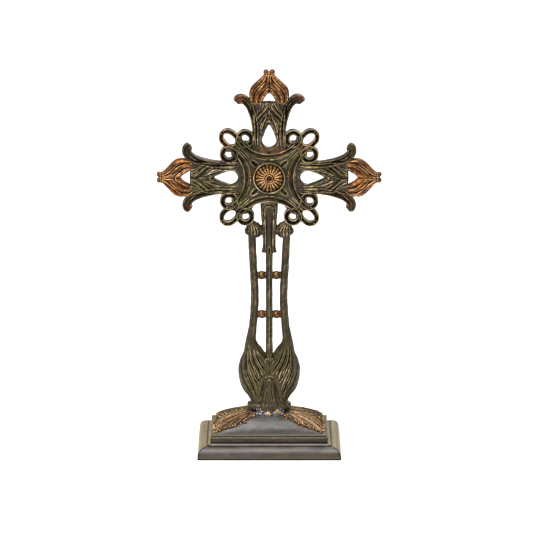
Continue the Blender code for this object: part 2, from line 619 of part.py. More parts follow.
def foot(foot_z):
    """Flat-bottomed block under the calyx, with the roll that runs round it."""
    height = 2 * COLLAR_RADIUS + 2 * MM
    corners = 20
    rings = []
    for rise, spread in ((0.0, 1.0), (height, 0.98)):
        ring = []
        for k in range(corners):
            angle = 2 * math.pi * (k + 0.5) / corners
            x, y = FOOT_HALF_WIDTH * math.cos(angle), FOOT_HALF_Y * math.sin(angle)
            ring.append(Vector((spread * x, spread * y, foot_z + rise)))
        rings.append(ring)
    block = sweep("foot", rings)
    roll_rings = []
    steps = 20
    for k in range(steps):
        angle = 2 * math.pi * k / steps
        centre = Vector((COLLAR_HALF_WIDTH * math.cos(angle), COLLAR_HALF_Y * math.sin(angle), 0))
        outward = Vector((COLLAR_HALF_Y * math.cos(angle), COLLAR_HALF_WIDTH * math.sin(angle), 0))
        outward.normalize()
        ring = []
        for across, up in section(ROUND):
            ring.append(centre + outward * across * COLLAR_RADIUS + Vector((
                0, 0, foot_z + COLLAR_RADIUS + 0.4 * MM + up * COLLAR_RADIUS,
            )))
        roll_rings.append(ring)
    return [block, sweep("roll", roll_rings, closed=True)]


def build_cross(material):
    """Built round the centre of the head and then lifted, so that the cross's height never alters its head."""
    foot_z = SEAT_Z + CAST_GAP - HEAD_Z
    calyx_top = foot_z + CALYX_HEIGHT
    solids = foot(foot_z) + calyx(foot_z) + stem(calyx_top) + tassel()
    solids.append(centre_plate())
    for degrees in (0, 90, 180, 270):
        solids += cup_scroll(degrees)
        solids += corner_loop(degrees + 45)
    arms = {0: TOP_REACH, 90: SIDE_REACH, 270: SIDE_REACH}
    for degrees, reach in arms.items():
        solids += arm(degrees, reach)
    solids += rosette()
    holes = [cutter for degrees in arms for cutter in arm_holes(degrees)]
    cross = combine("cross", solids, CROSS_FACETS, holes)
    cross.data.transform(Matrix.Translation((0, 0, HEAD_Z)))
    cross.data.materials.clear()
    cross.data.materials.append(material)
    return cross


def dome_height(x, y):
    """Height of the bare dome over the step at a point of its plan: level at the seat, steep at its rim."""
    across = 1.0 - min(abs(x) / DOME_HALF_X, 1.0) ** DOME_END_POWER
    deep = 1.0 - min(abs(y) / DOME_HALF_Y, 1.0) ** DOME_SIDE_POWER
    return DOME_RISE * math.sqrt(across * deep)


def plinth_body():
    """Mitred mouldings from the floor to the step, closed by the dome."""
    profile = [(0.0, 0.0), (0.0, TOE_HEIGHT)]
    steps = 4
    for k in range(1, steps + 1):
        angle = 0.5 * math.pi * k / steps
        profile.append((
            TORUS_INSET * (1 - math.cos(angle)), TOE_HEIGHT + TORUS_HEIGHT * math.sin(angle),
        ))
    cove_z = TOE_HEIGHT + TORUS_HEIGHT + COVE_HEIGHT
    profile.append((TORUS_INSET + 0.62 * COVE_INSET, cove_z - 0.62 * COVE_HEIGHT))
    profile.append((TORUS_INSET + COVE_INSET, cove_z))
    profile.append((TORUS_INSET + COVE_INSET, cove_z + RISER_HEIGHT))
    profile.append((DOME_INSET, STEP_Z))
    columns, rows = 18, 12
    mesh_data = bmesh.new()

    def edge_shares():
        """Plan shares of the dome grid's rim, once round."""
        shares = [(i, 0) for i in range(columns)] + [(columns, j) for j in range(rows)]
        shares += [(i, rows) for i in range(columns, 0, -1)] + [(0, j) for j in range(rows, 0, -1)]
        return shares

    rim = edge_shares()
    corner_steps = [(0, 0), (columns, 0), (columns, rows), (0, rows)]
    low = []
    for inset, z in profile[:-1]:
        half_x, half_y = PLINTH_WIDTH / 2 - inset, PLINTH_DEPTH / 2 - inset
        low.append([
            mesh_data.verts.new(((2 * i / columns - 1) * half_x, (2 * j / rows - 1) * half_y, z))
            for i, j in corner_steps
        ])
    mesh_data.faces.new(low[0])
    for under, over in zip(low, low[1:]):
        for k in range(4):
            mesh_data.faces.new((under[k], under[(k + 1) % 4], over[(k + 1) % 4], over[k]))
    grid = {}
    for i in range(columns + 1):
        for j in range(rows + 1):
            x = DOME_HALF_X * math.sin(0.5 * math.pi * (2 * i / columns - 1))
            y = DOME_HALF_Y * math.sin(0.5 * math.pi * (2 * j / rows - 1))
            grid[i, j] = mesh_data.verts.new((x, y, STEP_Z + dome_height(x, y)))
    for i in range(columns):
        for j in range(rows):
            mesh_data.faces.new((grid[i, j], grid[i + 1, j], grid[i + 1, j + 1], grid[i, j + 1]))
    for k in range(4):
        start, end = rim.index(corner_steps[k]), rim.index(corner_steps[(k + 1) % 4])
        along = rim[start:end + 1] if end > start else rim[start:] + rim[:1]
        mesh_data.faces.new([low[-1][k]] + [grid[step] for step in along] + [low[-1][(k + 1) % 4]])
    return as_object(mesh_data, "plinth_body")


def lobe(name, start, end, half_width, rise):
    """Finger of a leaf, laid over the dome from one plan point to another, round at its tip."""
    run = (end - start).normalized()
    side = Vector((-run.y, run.x))
    rings = []
    steps = 5
    for k in range(steps + 1):
        share = k / steps
        place = start.lerp(end, share)
        width = half_width * (0.70 + 0.30 * math.sin(math.pi * min(1.0, share * 1.3))) * (1 - share**4 * 0.55)
        ring = []
        for across, up in section(RIDGED):
            spot = place + side * across * width
            bare = STEP_Z + dome_height(spot.x, spot.y)
            lift = rise * (1 - 0.35 * share) if up > 0.9 else (0.30 * rise if up > 0 else -DOME_LEAF_SINK)
            ring.append(Vector((spot.x, spot.y, bare + lift)))
        rings.append(ring)
    return sweep(name, rings)


def seat_pad():
    """Low flat-topped oval that the foot of the cross stands on."""
    corners = 24
    rings = []
    for drop, spread in SEAT_PAD_STEPS:
        half_x, half_y = COLLAR_HALF_WIDTH + spread, COLLAR_HALF_Y + spread
        z = SEAT_Z - drop
        turns = [2 * math.pi * k / corners for k in range(corners)]
        rings.append([Vector((half_x * math.cos(turn), half_y * math.sin(turn), z)) for turn in turns])
    return sweep("seat_pad", rings)


def dome_leaves():
    """Two broad leaves that spread from the seat to the ends of the dome, and leaf tips below the roll."""
    solids = []
    tips = 5
    for front in (-1, 1):
        for k in range(tips):
            across = k - (tips - 1) / 2
            start = Vector((0.30 * across * COLLAR_HALF_WIDTH, front * (COLLAR_HALF_Y + 0.3 * COLLAR_RADIUS)))
            end = Vector((0.42 * across * COLLAR_HALF_WIDTH, front * (COLLAR_HALF_Y + 2.2 * COLLAR_RADIUS)))
            solids.append(lobe(f"tip_{front}_{k}", start, end, 4.4 * MM, 0.55 * DOME_LEAF_RISE))
    root_x = COLLAR_HALF_WIDTH + COLLAR_RADIUS + 3.0 * MM
    for side in (-1, 1):
        rib_end = Vector((side * 0.955 * DOME_HALF_X, 0.0))
        rib = lobe(f"rib_{side}", Vector((side * root_x, 0.0)), rib_end, 4.6 * MM, DOME_LEAF_RISE)
        solids.append(rib)
        fingers = 5
        for front in (-1, 1):
            for k in range(fingers):
                share = k / (fingers - 1)
                start_x = 0.72 * root_x + share * 0.34 * DOME_HALF_X
                start = Vector((side * start_x, front * (9.0 - 5.0 * share) * MM))
                reach_x = DOME_HALF_X * (0.37 + 0.56 * share)
                reach_y = DOME_HALF_Y * (0.74 + 0.20 * math.sin(math.pi * 0.62 * share))
                end = Vector((side * reach_x, front * reach_y))
                solids.append(lobe(
                    f"finger_{side}_{front}_{k}", start, end, 4.3 * MM, DOME_LEAF_RISE * (0.82 + 0.06 * k),
                ))
    return solids


def build_plinth(material):
    plinth = combine("plinth", [plinth_body(), seat_pad()] + dome_leaves(), PLINTH_FACETS)
    plinth.data.materials.clear()
    plinth.data.materials.append(material)
    return plinth


def main():
    clear_scene()
    build_plinth(make_material("aged_bronze_paint", PLINTH_COLOUR, 0.55, 0.45))
    build_cross(make_material("dark_bronze_paint", CROSS_COLOUR, 0.50, 0.50))


main()
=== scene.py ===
"""Dressed standing cross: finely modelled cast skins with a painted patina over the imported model.

Shapes are drawn in millimetres. A head frame gives (along, across, depth) of an arm, with the front at
negative depth. Each skin is made of overlapping swept bands, fused by a voxel remesh, and then carved
with ridges and grooves that are lines in the plane of the cross.
"""
import math

import bpy
import numpy as np
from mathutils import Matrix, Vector


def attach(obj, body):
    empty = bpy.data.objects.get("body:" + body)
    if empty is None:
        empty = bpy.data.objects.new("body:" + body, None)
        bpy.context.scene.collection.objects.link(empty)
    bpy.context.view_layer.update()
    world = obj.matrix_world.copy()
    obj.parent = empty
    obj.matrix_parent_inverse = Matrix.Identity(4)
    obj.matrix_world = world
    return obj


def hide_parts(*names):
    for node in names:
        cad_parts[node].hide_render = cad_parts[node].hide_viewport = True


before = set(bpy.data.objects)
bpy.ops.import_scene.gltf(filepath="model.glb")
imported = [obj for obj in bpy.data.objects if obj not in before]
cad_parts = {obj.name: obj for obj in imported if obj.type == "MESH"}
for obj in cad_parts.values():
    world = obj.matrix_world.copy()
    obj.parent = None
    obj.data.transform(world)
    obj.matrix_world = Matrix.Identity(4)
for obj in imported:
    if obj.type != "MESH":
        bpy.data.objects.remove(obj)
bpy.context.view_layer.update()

MM = 0.001

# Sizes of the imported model, in millimetres
HEAD_Z = 384.4
TOP_REACH = 149.0
SIDE_REACH = 152.4
CUP_REACH = 29.2
CUP_HALF_WIDTH = 4.9
CUP_HALF_DEPTH = 7.2
EYE_REACH = 54.0
EYE_OFFSET = 32.6
VOLUTE_RADIUS = 8.3
PLATE_HALF_DEPTH = 4.6
FOOT_Z = 52.7
CALYX_TOP = 156.7
STEP_Z = 29.0
DOME_RISE = 22.6
DOME_HALF_X = 75.0
DOME_HALF_Y = 40.0
PLINTH_HALF_X = 98.5
PLINTH_HALF_Y = 63.5
SEAT_Z = 52.4
SEAT_HALF_X = 25.4
SEAT_HALF_Y = 12.6

# Slot and replaced node of the pieces of each casting
CROSS = ("dark_bronze_paint", "cross")
PLINTH = ("aged_bronze_paint", "plinth")

rng = np.random.default_rng(21)


def superellipse(power, count=20):
    """Closed section of a band as (across, depth): round at power 1, boxier below it."""
    turn = np.linspace(0, 2 * np.pi, count, endpoint=False)
    across = np.sign(np.cos(turn)) * np.abs(np.cos(turn)) ** power
    depth = np.sign(np.sin(turn)) * np.abs(np.sin(turn)) ** power
    return np.stack([across, depth], 1)


def mirrored(front, rear):
    """Closed section from its left half: the front and the rear, each from the edge to the middle."""
    front, rear = np.array(front), np.array(rear)
    return np.vstack([front, front[-2::-1] * (-1, 1), rear[:-1] * (-1, 1), rear[::-1]])


ROUND = superellipse(1.0)
BOXY = superellipse(0.62, 28)
RIMMED = mirrored(
    [(-1, 0), (-1, -0.6), (-0.95, -0.88), (-0.82, -1), (-0.66, -0.96), (-0.48, -0.66), (-0.24, -0.47),
     (0, -0.43)],
    [(-0.95, 0.55), (-0.7, 0.86), (0, 0.95)],
)
PETAL = np.array([
    (-1, 0), (-0.98, -0.52), (-0.86, -0.84), (-0.66, -0.94), (-0.46, -0.8), (-0.3, -0.72), (-0.1, -0.88),
    (0.08, -0.94), (0.26, -0.84), (0.42, -0.72), (0.58, -0.8), (0.76, -1), (0.9, -0.9), (1, -0.5),
    (1, 0), (0.92, 0.56), (0.62, 0.86), (0, 0.9), (-0.62, 0.86), (-0.92, 0.56),
])


def smooth(knots, count):
    """Catmull-Rom curve through knots of any dimension, as count + 1 points."""
    knots = np.asarray(knots, float)
    place = np.linspace(0, len(knots) - 1, count + 1)
    i = np.minimum(place.astype(int), len(knots) - 2)
    t = (place - i)[:, None]
    before, start = knots[np.maximum(i - 1, 0)], knots[i]
    end, after = knots[i + 1], knots[np.minimum(i + 2, len(knots) - 1)]
    curve = 2 * start + (end - before) * t + (2 * before - 5 * start + 4 * end - after) * t**2
    return 0.5 * (curve + (3 * start - before - 3 * end + after) * t**3)


def ellipse(turns, half_x, half_y, z=0.0):
    """Points at turns round an upright axis."""
    return np.stack([half_x * np.cos(turns), half_y * np.sin(turns), z + 0 * turns], -1)


def head_frame(degrees, reach=TOP_REACH):
    """Places points of an arm turned clockwise from upright; a longer arm is stretched past the scrolls."""
    turn = math.radians(degrees)
    stretch = (reach - CUP_REACH) / (TOP_REACH - CUP_REACH)

    def place(along, across, depth):
        along, across, depth = np.broadcast_arrays(np.asarray(along, float), across, depth)
        far = np.where(along > CUP_REACH, CUP_REACH + (along - CUP_REACH) * stretch, along)
        x = far * math.sin(turn) + across * math.cos(turn)
        z = HEAD_Z + far * math.cos(turn) - across * math.sin(turn)
        return np.stack([x, depth, z], -1)

    return place


def standing_frame(side=1, base=0.0):
    """Places (height, sideways, depth) measured up from base, mirrored when side is -1."""

    def place(along, across, depth):
        along, across, depth = np.broadcast_arrays(np.asarray(along, float), across, depth)
        return np.stack([side * across, depth, base + along], -1)

    return place


class Clay:
    """Closed solids in millimetres, gathered to be fused into one skin."""

    def __init__(self):
        self.points = []
        self.faces = []
        self.count = 0

    def add(self, rings, closed=False):
        """Skin through rings of equal counts, closed to a ring or by a lid at each end."""
        rings = np.asarray(rings, float)
        rows, across = rings.shape[:2]
        index = self.count + np.arange(rows * across).reshape(rows, across)
        low, high = (index, np.roll(index, -1, 0)) if closed else (index[:-1], index[1:])
        low_next, high_next = np.roll(low, -1, 1), np.roll(high, -1, 1)
        quads = np.stack([low, low_next, high_next, high], -1).reshape(-1, 4)
        self.faces += quads.tolist()
        if not closed:
            self.faces += [index[0][::-1].tolist(), index[-1].tolist()]
        self.points.append(rings.reshape(-1, 3))
        self.count += rows * across

    def stroke(self, samples, place, section, closed=False, caps=(0.0, 0.0)):
        """Band from samples of (along, across, half width, half depth); caps round its ends."""
        samples = np.asarray(samples, float)
        if not closed:
            samples = rounded_ends(samples, caps)
        line = samples[:, :2]
        if closed:
            before, after = np.roll(line, 1, 0), np.roll(line, -1, 0)
        else:
            before, after = np.vstack([line[:1], line[:-1]]), np.vstack([line[1:], line[-1:]])
        run = after - before
        run /= np.linalg.norm(run, axis=1, keepdims=True) + 1e-9
        sideways = np.stack([-run[:, 1], run[:, 0]], 1)
        offset = section[None, :, 0] * samples[:, 2, None]
        flat = line[:, None, :] + sideways[:, None, :] * offset[..., None]
        depth = section[None, :, 1] * samples[:, 3, None]
        self.add(place(flat[..., 0], flat[..., 1], depth), closed)

    def slab(self, samples, place, section, wave=None):
        """Band between two edges, from samples of (along, inner, outer, half depth)."""
        samples = np.asarray(samples, float)
        middle = 0.5 * (samples[:, 1] + samples[:, 2])
        half = 0.5 * (samples[:, 2] - samples[:, 1])
        across = middle[:, None] + section[None, :, 0] * half[:, None]
        along = np.repeat(samples[:, :1], len(section), 1)
        if wave is not None:
            along = along + wave(along, across)
        depth = section[None, :, 1] * samples[:, 3, None]
        self.add(place(along, across, depth))

    def ball(self, centre, radii, rings=12, segments=20):
        """Ellipsoid."""
        tilt = np.linspace(0.02, np.pi - 0.02, rings)[:, None]
        turn = np.linspace(0, 2 * np.pi, segments, endpoint=False)[None, :]
        level = np.cos(tilt) + 0 * turn
        shape = np.stack([np.sin(tilt) * np.cos(turn), np.sin(tilt) * np.sin(turn), level], -1)
        self.add(np.asarray(centre, float) + shape * np.asarray(radii, float))


def rounded_ends(samples, caps):
    """Adds rings that shrink to a round end, a share of the half width long."""
    parts = [samples]
    for at_end, share in ((False, caps[0]), (True, caps[1])):
        if share <= 0:
            continue
        end, inner = (samples[-1], samples[-2]) if at_end else (samples[0], samples[1])
        run = end[:2] - inner[:2]
        run = run / (np.linalg.norm(run) + 1e-9)
        extra = []
        for angle in np.radians([25, 50, 70, 85]):
            ring = end.copy()
            ring[:2] += run * math.sin(angle) * share * end[2]
            ring[2:] *= math.cos(angle)
            extra.append(ring)
        if at_end:
            parts.append(np.array(extra))
        else:
            parts.insert(0, np.array(extra[::-1]))
    return np.vstack(parts)


def in_scene(name, data):
    """New object in the scene."""
    thing = bpy.data.objects.new(name, data)
    bpy.context.scene.collection.objects.link(thing)
    return thing


def mesh_of(name, clay):
    mesh = bpy.data.meshes.new(name)
    mesh.from_pydata((np.vstack(clay.points) * MM).tolist(), [], clay.faces)
    return mesh


def fuse(name, clay, voxel, relax=2):
    """One closed skin from all the solids in the clay."""
    rough = in_scene(name, mesh_of(name, clay))
    skin = rough.modifiers.new("skin", "REMESH")
    skin.mode = "VOXEL"
    skin.voxel_size = voxel * MM
    soften = rough.modifiers.new("soften", "SMOOTH")
    soften.factor = 0.5
    soften.iterations = relax
    graph = bpy.context.evaluated_depsgraph_get()
    fused = bpy.data.meshes.new_from_object(rough.evaluated_get(graph))
    bpy.data.objects.remove(rough)
    fused.name = name
    return in_scene(name, fused)


def read(items, name, width, kind=float):
    """Table of one property of all the items of a mesh."""
    flat = np.empty(len(items) * width, kind)
    items.foreach_get(name, flat)
    return flat.reshape(-1, width)


def points_of(mesh):
    return read(mesh.vertices, "co", 3) / MM


def normals_of(mesh):
    return read(mesh.vertex_normals, "vector", 3)


def move_to(mesh, points):
    mesh.vertices.foreach_set("co", (points * MM).ravel())
    mesh.update()


def spread(values, edges, rounds):
    """Values of the vertices averaged with their neighbours, over and over."""
    count = len(values)
    start, end = edges[:, 0], edges[:, 1]
    degree = np.maximum(np.bincount(start, minlength=count) + np.bincount(end, minlength=count), 1)
    flat = values.reshape(count, -1).copy()
    for _ in range(rounds):
        for k in range(flat.shape[1]):
            column = flat[:, k]
            total = np.bincount(start, column[end], count) + np.bincount(end, column[start], count)
            flat[:, k] = 0.5 * column + 0.5 * total / degree
    return flat.reshape(values.shape)


def smoothstep(values, low, high):
    share = np.clip((values - low) / (high - low), 0, 1)
    return share * share * (3 - 2 * share)


class Carving:
    """Ridges and grooves as lines in the plane of the cross, each with a half width and a signed rise."""

    # Share of the rise that the plainer back gets
    back = 0.5

    def __init__(self, place=None):
        self.place = place
        self.lines = []

    def line(self, knots, width, rise, mirror=True, ends=(0.35, 0.35), count=14):
        """Width and rise in millimetres; ends are the shares of the width left at the two tips."""
        for side in (1, -1) if mirror else (1,):
            path = smooth(knots, count)
            world = self.place(path[:, 0], side * path[:, 1], 0.0)[:, [0, 2]]
            share = np.linspace(0, 1, len(world))
            fade = np.minimum(1, ends[0] + (1 - ends[0]) * share / 0.2)
            fade = np.minimum(fade, ends[1] + (1 - ends[1]) * (1 - share) / 0.2)
            self.lines.append((world, width * fade, rise * fade))

    def straight(self, reaches, width, rise, **more):
        """Line along the middle, through these reaches."""
        self.line([(reach, 0) for reach in reaches], width, rise, mirror=False, **more)

    def heights(self, points, facing):
        """Rise at each point, less on the plainer back."""
        rise = np.zeros(len(points))
        flat = points[:, [0, 2]]
        front = smoothstep(-facing, 0.05, 0.45)
        rear = smoothstep(facing, 0.25, 0.6)
        for path, widths, rises in self.lines:
            reach = widths.max()
            low, high = path.min(0) - reach, path.max(0) + reach
            near = np.nonzero(np.all((flat > low) & (flat < high), 1))[0]
            if not len(near):
                continue
            spots = flat[near]
            best = np.full(len(near), np.inf)
            width = np.zeros(len(near))
            height = np.zeros(len(near))
            for k in range(len(path) - 1):
                run = path[k + 1] - path[k]
                share = np.clip((spots - path[k]) @ run / (run @ run + 1e-9), 0, 1)
                away = np.linalg.norm(spots - path[k] - share[:, None] * run, axis=1)
                closer = away < best
                best = np.where(closer, away, best)
                width = np.where(closer, widths[k] + share * (widths[k + 1] - widths[k]), width)
                height = np.where(closer, rises[k] + share * (rises[k + 1] - rises[k]), height)
            shape = np.clip(1 - (best / np.maximum(width, 0.2)) ** 2, 0, 1) ** 1.5
            rise[near] += height * shape * (front[near] + self.back * rear[near])
        return rise


def carve(piece, carving):
    """Moves the skin out and in along the depth, so that the outline stays."""
    mesh = piece.data
    points = points_of(mesh)
    facing = normals_of(mesh)[:, 1]
    rise = carving.heights(points, facing)
    points[:, 1] += rise * np.where(facing < 0, -1, 1)
    move_to(mesh, points)


def stipple(piece, size, amount, seed=0):
    """Uneven hand-cast surface: slow waves along the normals."""
    mesh = piece.data
    points = points_of(mesh)
    normals = normals_of(mesh)
    waves = np.random.default_rng(seed)
    rise = np.zeros(len(points))
    for _ in range(10):
        direction = waves.normal(size=3)
        direction /= np.linalg.norm(direction)
        length = size * waves.uniform(0.6, 1.6)
        rise += np.sin(points @ direction * 2 * np.pi / length + waves.uniform(0, 6.3))
    points += normals * (rise * amount / 3)[:, None]
    move_to(mesh, points)


def store(mesh, name, values):
    layer = mesh.attributes.new(name, "FLOAT", "POINT")
    layer.data.foreach_set("value", np.asarray(values, np.float32))


# Pieces whose steep sides get no painted shade, and the height under which the copper pieces are beads
STEEP_LIT = ("dome_leaves", "seat_lace", "seat_tips", "dome_field", "plinth_mouldings")
BEADS_BELOW = HEAD_Z - 60


def mark_relief(piece, gain, fine=5, broad=26):
    """Writes how far each point stands above its surroundings, as 0 to 1 with 0.5 level.

    Part of the broad measure is taken off the fine one, so that a plain round rod reads as level. Broad
    hollows read lower. Raised points that face sideways lose most of their lift, so the painted highlight
    stays on faces towards the front, the back or the top. The steep sides of most pieces read lower as
    painted shade.
    """
    mesh = piece.data
    points = points_of(mesh)
    normals = normals_of(mesh)
    edges = read(mesh.edges, "vertices", 2, np.int64)
    soft = spread(points, edges, fine)
    softer = spread(soft, edges, broad - fine)
    near = np.einsum("ij,ij->i", points - soft, normals)
    wide = np.einsum("ij,ij->i", points - softer, normals)
    relief = spread(near - 0.8 * fine / broad * wide, edges, 1) * gain
    seen = np.clip(np.maximum(np.abs(normals[:, 1]), 0.9 * normals[:, 2]), 0, 1)
    # painted highlight: raised points keep their lift only where they face the front, the back or the top
    relief = np.where(relief > 0, relief * smoothstep(seen, 0.15, 0.75), relief) - 0.45 * np.maximum(-wide, 0)
    # painted shade: the steep sides of these pieces read lower, so the dark wash darkens them
    if piece.name not in STEEP_LIT:
        relief -= 0.55 * smoothstep(seen, 0.40, 0.08)
    if piece.name == "copper_ornaments":
        relief -= 0.35 * (points[:, 2] < BEADS_BELOW)
    store(mesh, "relief", np.clip(0.5 + 0.5 * relief, 0, 1))


def thin(piece, share):
    """Fewer facets where the skin is plain; the masks are carried over by the modifier."""
    step = piece.modifiers.new("thin", "DECIMATE")
    step.ratio = share
    graph = bpy.context.evaluated_depsgraph_get()
    lighter = bpy.data.meshes.new_from_object(piece.evaluated_get(graph))
    lighter.validate()
    piece.modifiers.clear()
    piece.data = lighter


def touches(points, spots):
    """Soft round spots of paint, from (x, z, radius, amount)."""
    paint = np.zeros(len(points))
    for x, z, radius, amount in spots:
        away = (points[:, 0] - x) ** 2 + (points[:, 2] - z) ** 2
        paint = np.maximum(paint, amount * np.exp(-away / radius**2))
    return paint


def past_mitre(points):
    """How far a point lies past the mitre, on the short side of the plinth."""
    return np.abs(points[:, 0]) - (PLINTH_HALF_X - PLINTH_HALF_Y) - np.abs(points[:, 1])


def leaf_tones(points):
    """Olive share and brighter strands of the draped leaves."""
    a = np.arcsin(np.minimum(np.abs(points[:, 0]) / DOME_HALF_X, 1)) / (0.5 * math.pi)
    b = np.arcsin(np.minimum(np.abs(points[:, 1]) / DOME_HALF_Y, 1)) / (0.5 * math.pi)
    angle = np.arctan2(b, np.maximum(a - 0.10, 0.01)) + 0.25 * np.sign(points[:, 0])
    tone = 0.5 + 0.5 * np.sin(15 * angle + 2.2 * np.sin(5.3 * angle))
    olive = 0.75 * smoothstep(points[:, 1], -20.0, 2.0) + 0.35 * smoothstep(a, 0.8, 1.0)
    return np.clip(olive, 0, 1) * (0.5 + 0.5 * tone), tone * (1 - 0.5 * olive)


# Joints of the mouldings as (inset of the middle, half width)
JOINTS = ((13.3, 0.95), (18.5, 0.35), (20.3, 0.9))


def joint_lines(points):
    """Dark lines in the joints of the mouldings and along the mitres, and darker at the very foot."""
    inset = np.minimum(PLINTH_HALF_X - np.abs(points[:, 0]), PLINTH_HALF_Y - np.abs(points[:, 1]))
    dirt = np.zeros(len(points))
    for middle, half in JOINTS:
        dirt = np.maximum(dirt, smoothstep(np.abs(inset - middle), 1.5 * half, 0.5 * half))
    past = past_mitre(points)
    dirt *= 1 - 0.45 * (past > 0)
    dirt = np.maximum(dirt, 0.9 * smoothstep(np.abs(past), 1.8, 0.5))
    dirt = np.maximum(dirt, smoothstep(points[:, 2], 2.6, 1.2))
    return dirt * (points[:, 2] < STEP_Z - 0.6)


RUST_TOUCHES = (
    (-58, 437, 9, 0.7), (58, 437, 6, 0.35), (-39, 493, 6, 0.6), (40, 497, 5, 0.4),
    (-103, 341, 7, 0.6), (47, 425, 5, 0.4), (-20, 388, 6, 0.4),
)
OLIVE_TOUCHES = (
    (-90, 372, 12, 0.8), (-46, 372, 8, 0.7), (22, 366, 7, 0.7), (0, 106, 50, 0.45), (-30, 400, 6, 0.5),
    (60, 352, 6, 0.5),
)


def dress(piece, material, casting, gain, share):
    """Masks for the paint, a share of the facets kept, the material and the piece's place in the frame."""
    mesh = piece.data
    points = points_of(mesh)
    olive = touches(points, OLIVE_TOUCHES)
    if piece.name == "copper_ornaments":
        olive = np.maximum(olive, 0.5 * (points[:, 2] < BEADS_BELOW))
    if piece.name == "dome_leaves":
        mark_relief(piece, gain, 8, 44)
        olive, tone = leaf_tones(points)
        store(mesh, "tone", tone)
    else:
        mark_relief(piece, gain)
    store(mesh, "rust", touches(points, RUST_TOUCHES))
    store(mesh, "olive", olive)
    store(mesh, "ends", smoothstep(past_mitre(points), -0.6, 0.6) * (points[:, 2] < STEP_Z + 0.2))
    store(mesh, "joint", joint_lines(points))
    if share < 1:
        thin(piece, share)
    slot, node = casting
    piece.data.materials.clear()
    piece.data.materials.append(material)
    piece.data.polygons.foreach_set("use_smooth", [True] * len(piece.data.polygons))
    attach(piece, "root")
    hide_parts(node)


# Materials


class Nodes:
    """Short way to write a node tree, with a paint whose colour grows wash by wash."""

    def __init__(self, name):
        self.material = bpy.data.materials.new(name)
        self.material.use_nodes = True
        self.tree = self.material.node_tree
        self.shader = self.tree.nodes["Principled BSDF"]
        self.place = self.add("ShaderNodeTexCoord").outputs["Object"]
        self.base = None

    def add(self, kind, **inputs):
        made = self.tree.nodes.new(kind)
        for name, value in inputs.items():
            self.put(made.inputs[name.replace("_", " ")], value)
        return made

    def put(self, socket, value):
        if isinstance(value, bpy.types.NodeSocket):
            self.tree.links.new(value, socket)
        else:
            socket.default_value = value

    def noise(self, scale, detail=3.0, rough=0.55, stretch=(1, 1, 1), offset=(0, 0, 0)):
        moved = self.add("ShaderNodeMapping", Vector=self.place, Scale=stretch, Location=offset)
        place = moved.outputs["Vector"]
        made = self.add("ShaderNodeTexNoise", Vector=place, Scale=scale, Detail=detail, Roughness=rough)
        return made.outputs["Fac"]

    def math(self, operation, first, second):
        made = self.tree.nodes.new("ShaderNodeMath")
        made.operation = operation
        self.put(made.inputs[0], first)
        self.put(made.inputs[1], second)
        return made.outputs[0]

    def scaled(self, value, start, gain):
        return self.math("ADD", start, self.math("MULTIPLY", value, gain))

    def ease(self, value, low, high):
        made = self.add("ShaderNodeMapRange", Value=value, From_Min=low, From_Max=high)
        made.interpolation_type = "SMOOTHSTEP"
        return made.outputs["Result"]

    def mix(self, share, first, second, blend="MIX"):
        made = self.tree.nodes.new("ShaderNodeMix")
        made.data_type = "RGBA"
        made.blend_type = blend
        self.put(made.inputs["Factor"], share)
        for name, value in (("A", first), ("B", second)):
            self.put(made.inputs[name], colour(*value) if isinstance(value, tuple) else value)
        return made.outputs["Result"]

    def attribute(self, name):
        made = self.tree.nodes.new("ShaderNodeAttribute")
        made.attribute_name = name
        return made.outputs["Fac"]

    def wash(self, mask, amount, paint):
        """Paint over the colour so far, where the mask is."""
        self.base = self.mix(self.math("MULTIPLY", mask, amount), self.base, paint)

    def mottle(self, value, start, gain):
        self.base = self.mix(1.0, self.base, self.scaled(value, start, gain), "MULTIPLY")

    def raised(self, grain, amount):
        """Relief of the surface, broken up by a grain."""
        change = self.math("MULTIPLY", self.math("SUBTRACT", grain, 0.5), amount)
        return self.math("ADD", self.attribute("relief"), change)

    def finish(self, middle, fine, rough, metal, depths, strength, level=0.5):
        """Gloss and small bumps; rough is (start, gain) over the middle grain, metal (mask, start, gain)."""
        self.put(self.shader.inputs["Base Color"], self.base)
        self.put(self.shader.inputs["Roughness"], self.scaled(middle, *rough))
        self.put(self.shader.inputs["Metallic"], self.scaled(*metal))
        self.shader.inputs["Specular IOR Level"].default_value = level
        broad_bump = self.add("ShaderNodeBump", Height=middle, Distance=depths[0], Strength=strength)
        fine_bump = self.add("ShaderNodeBump", Height=fine, Distance=depths[1], Strength=strength)
        self.put(fine_bump.inputs["Normal"], broad_bump.outputs["Normal"])
        self.put(self.shader.inputs["Normal"], fine_bump.outputs["Normal"])
        return self.material


def colour(red, green, blue):
    """Linear colour from a display one in 0 to 255."""
    values = [channel / 255 for channel in (red, green, blue)]
    return tuple(v / 12.92 if v <= 0.04045 else ((v + 0.055) / 1.055) ** 2.4 for v in values) + (1.0,)


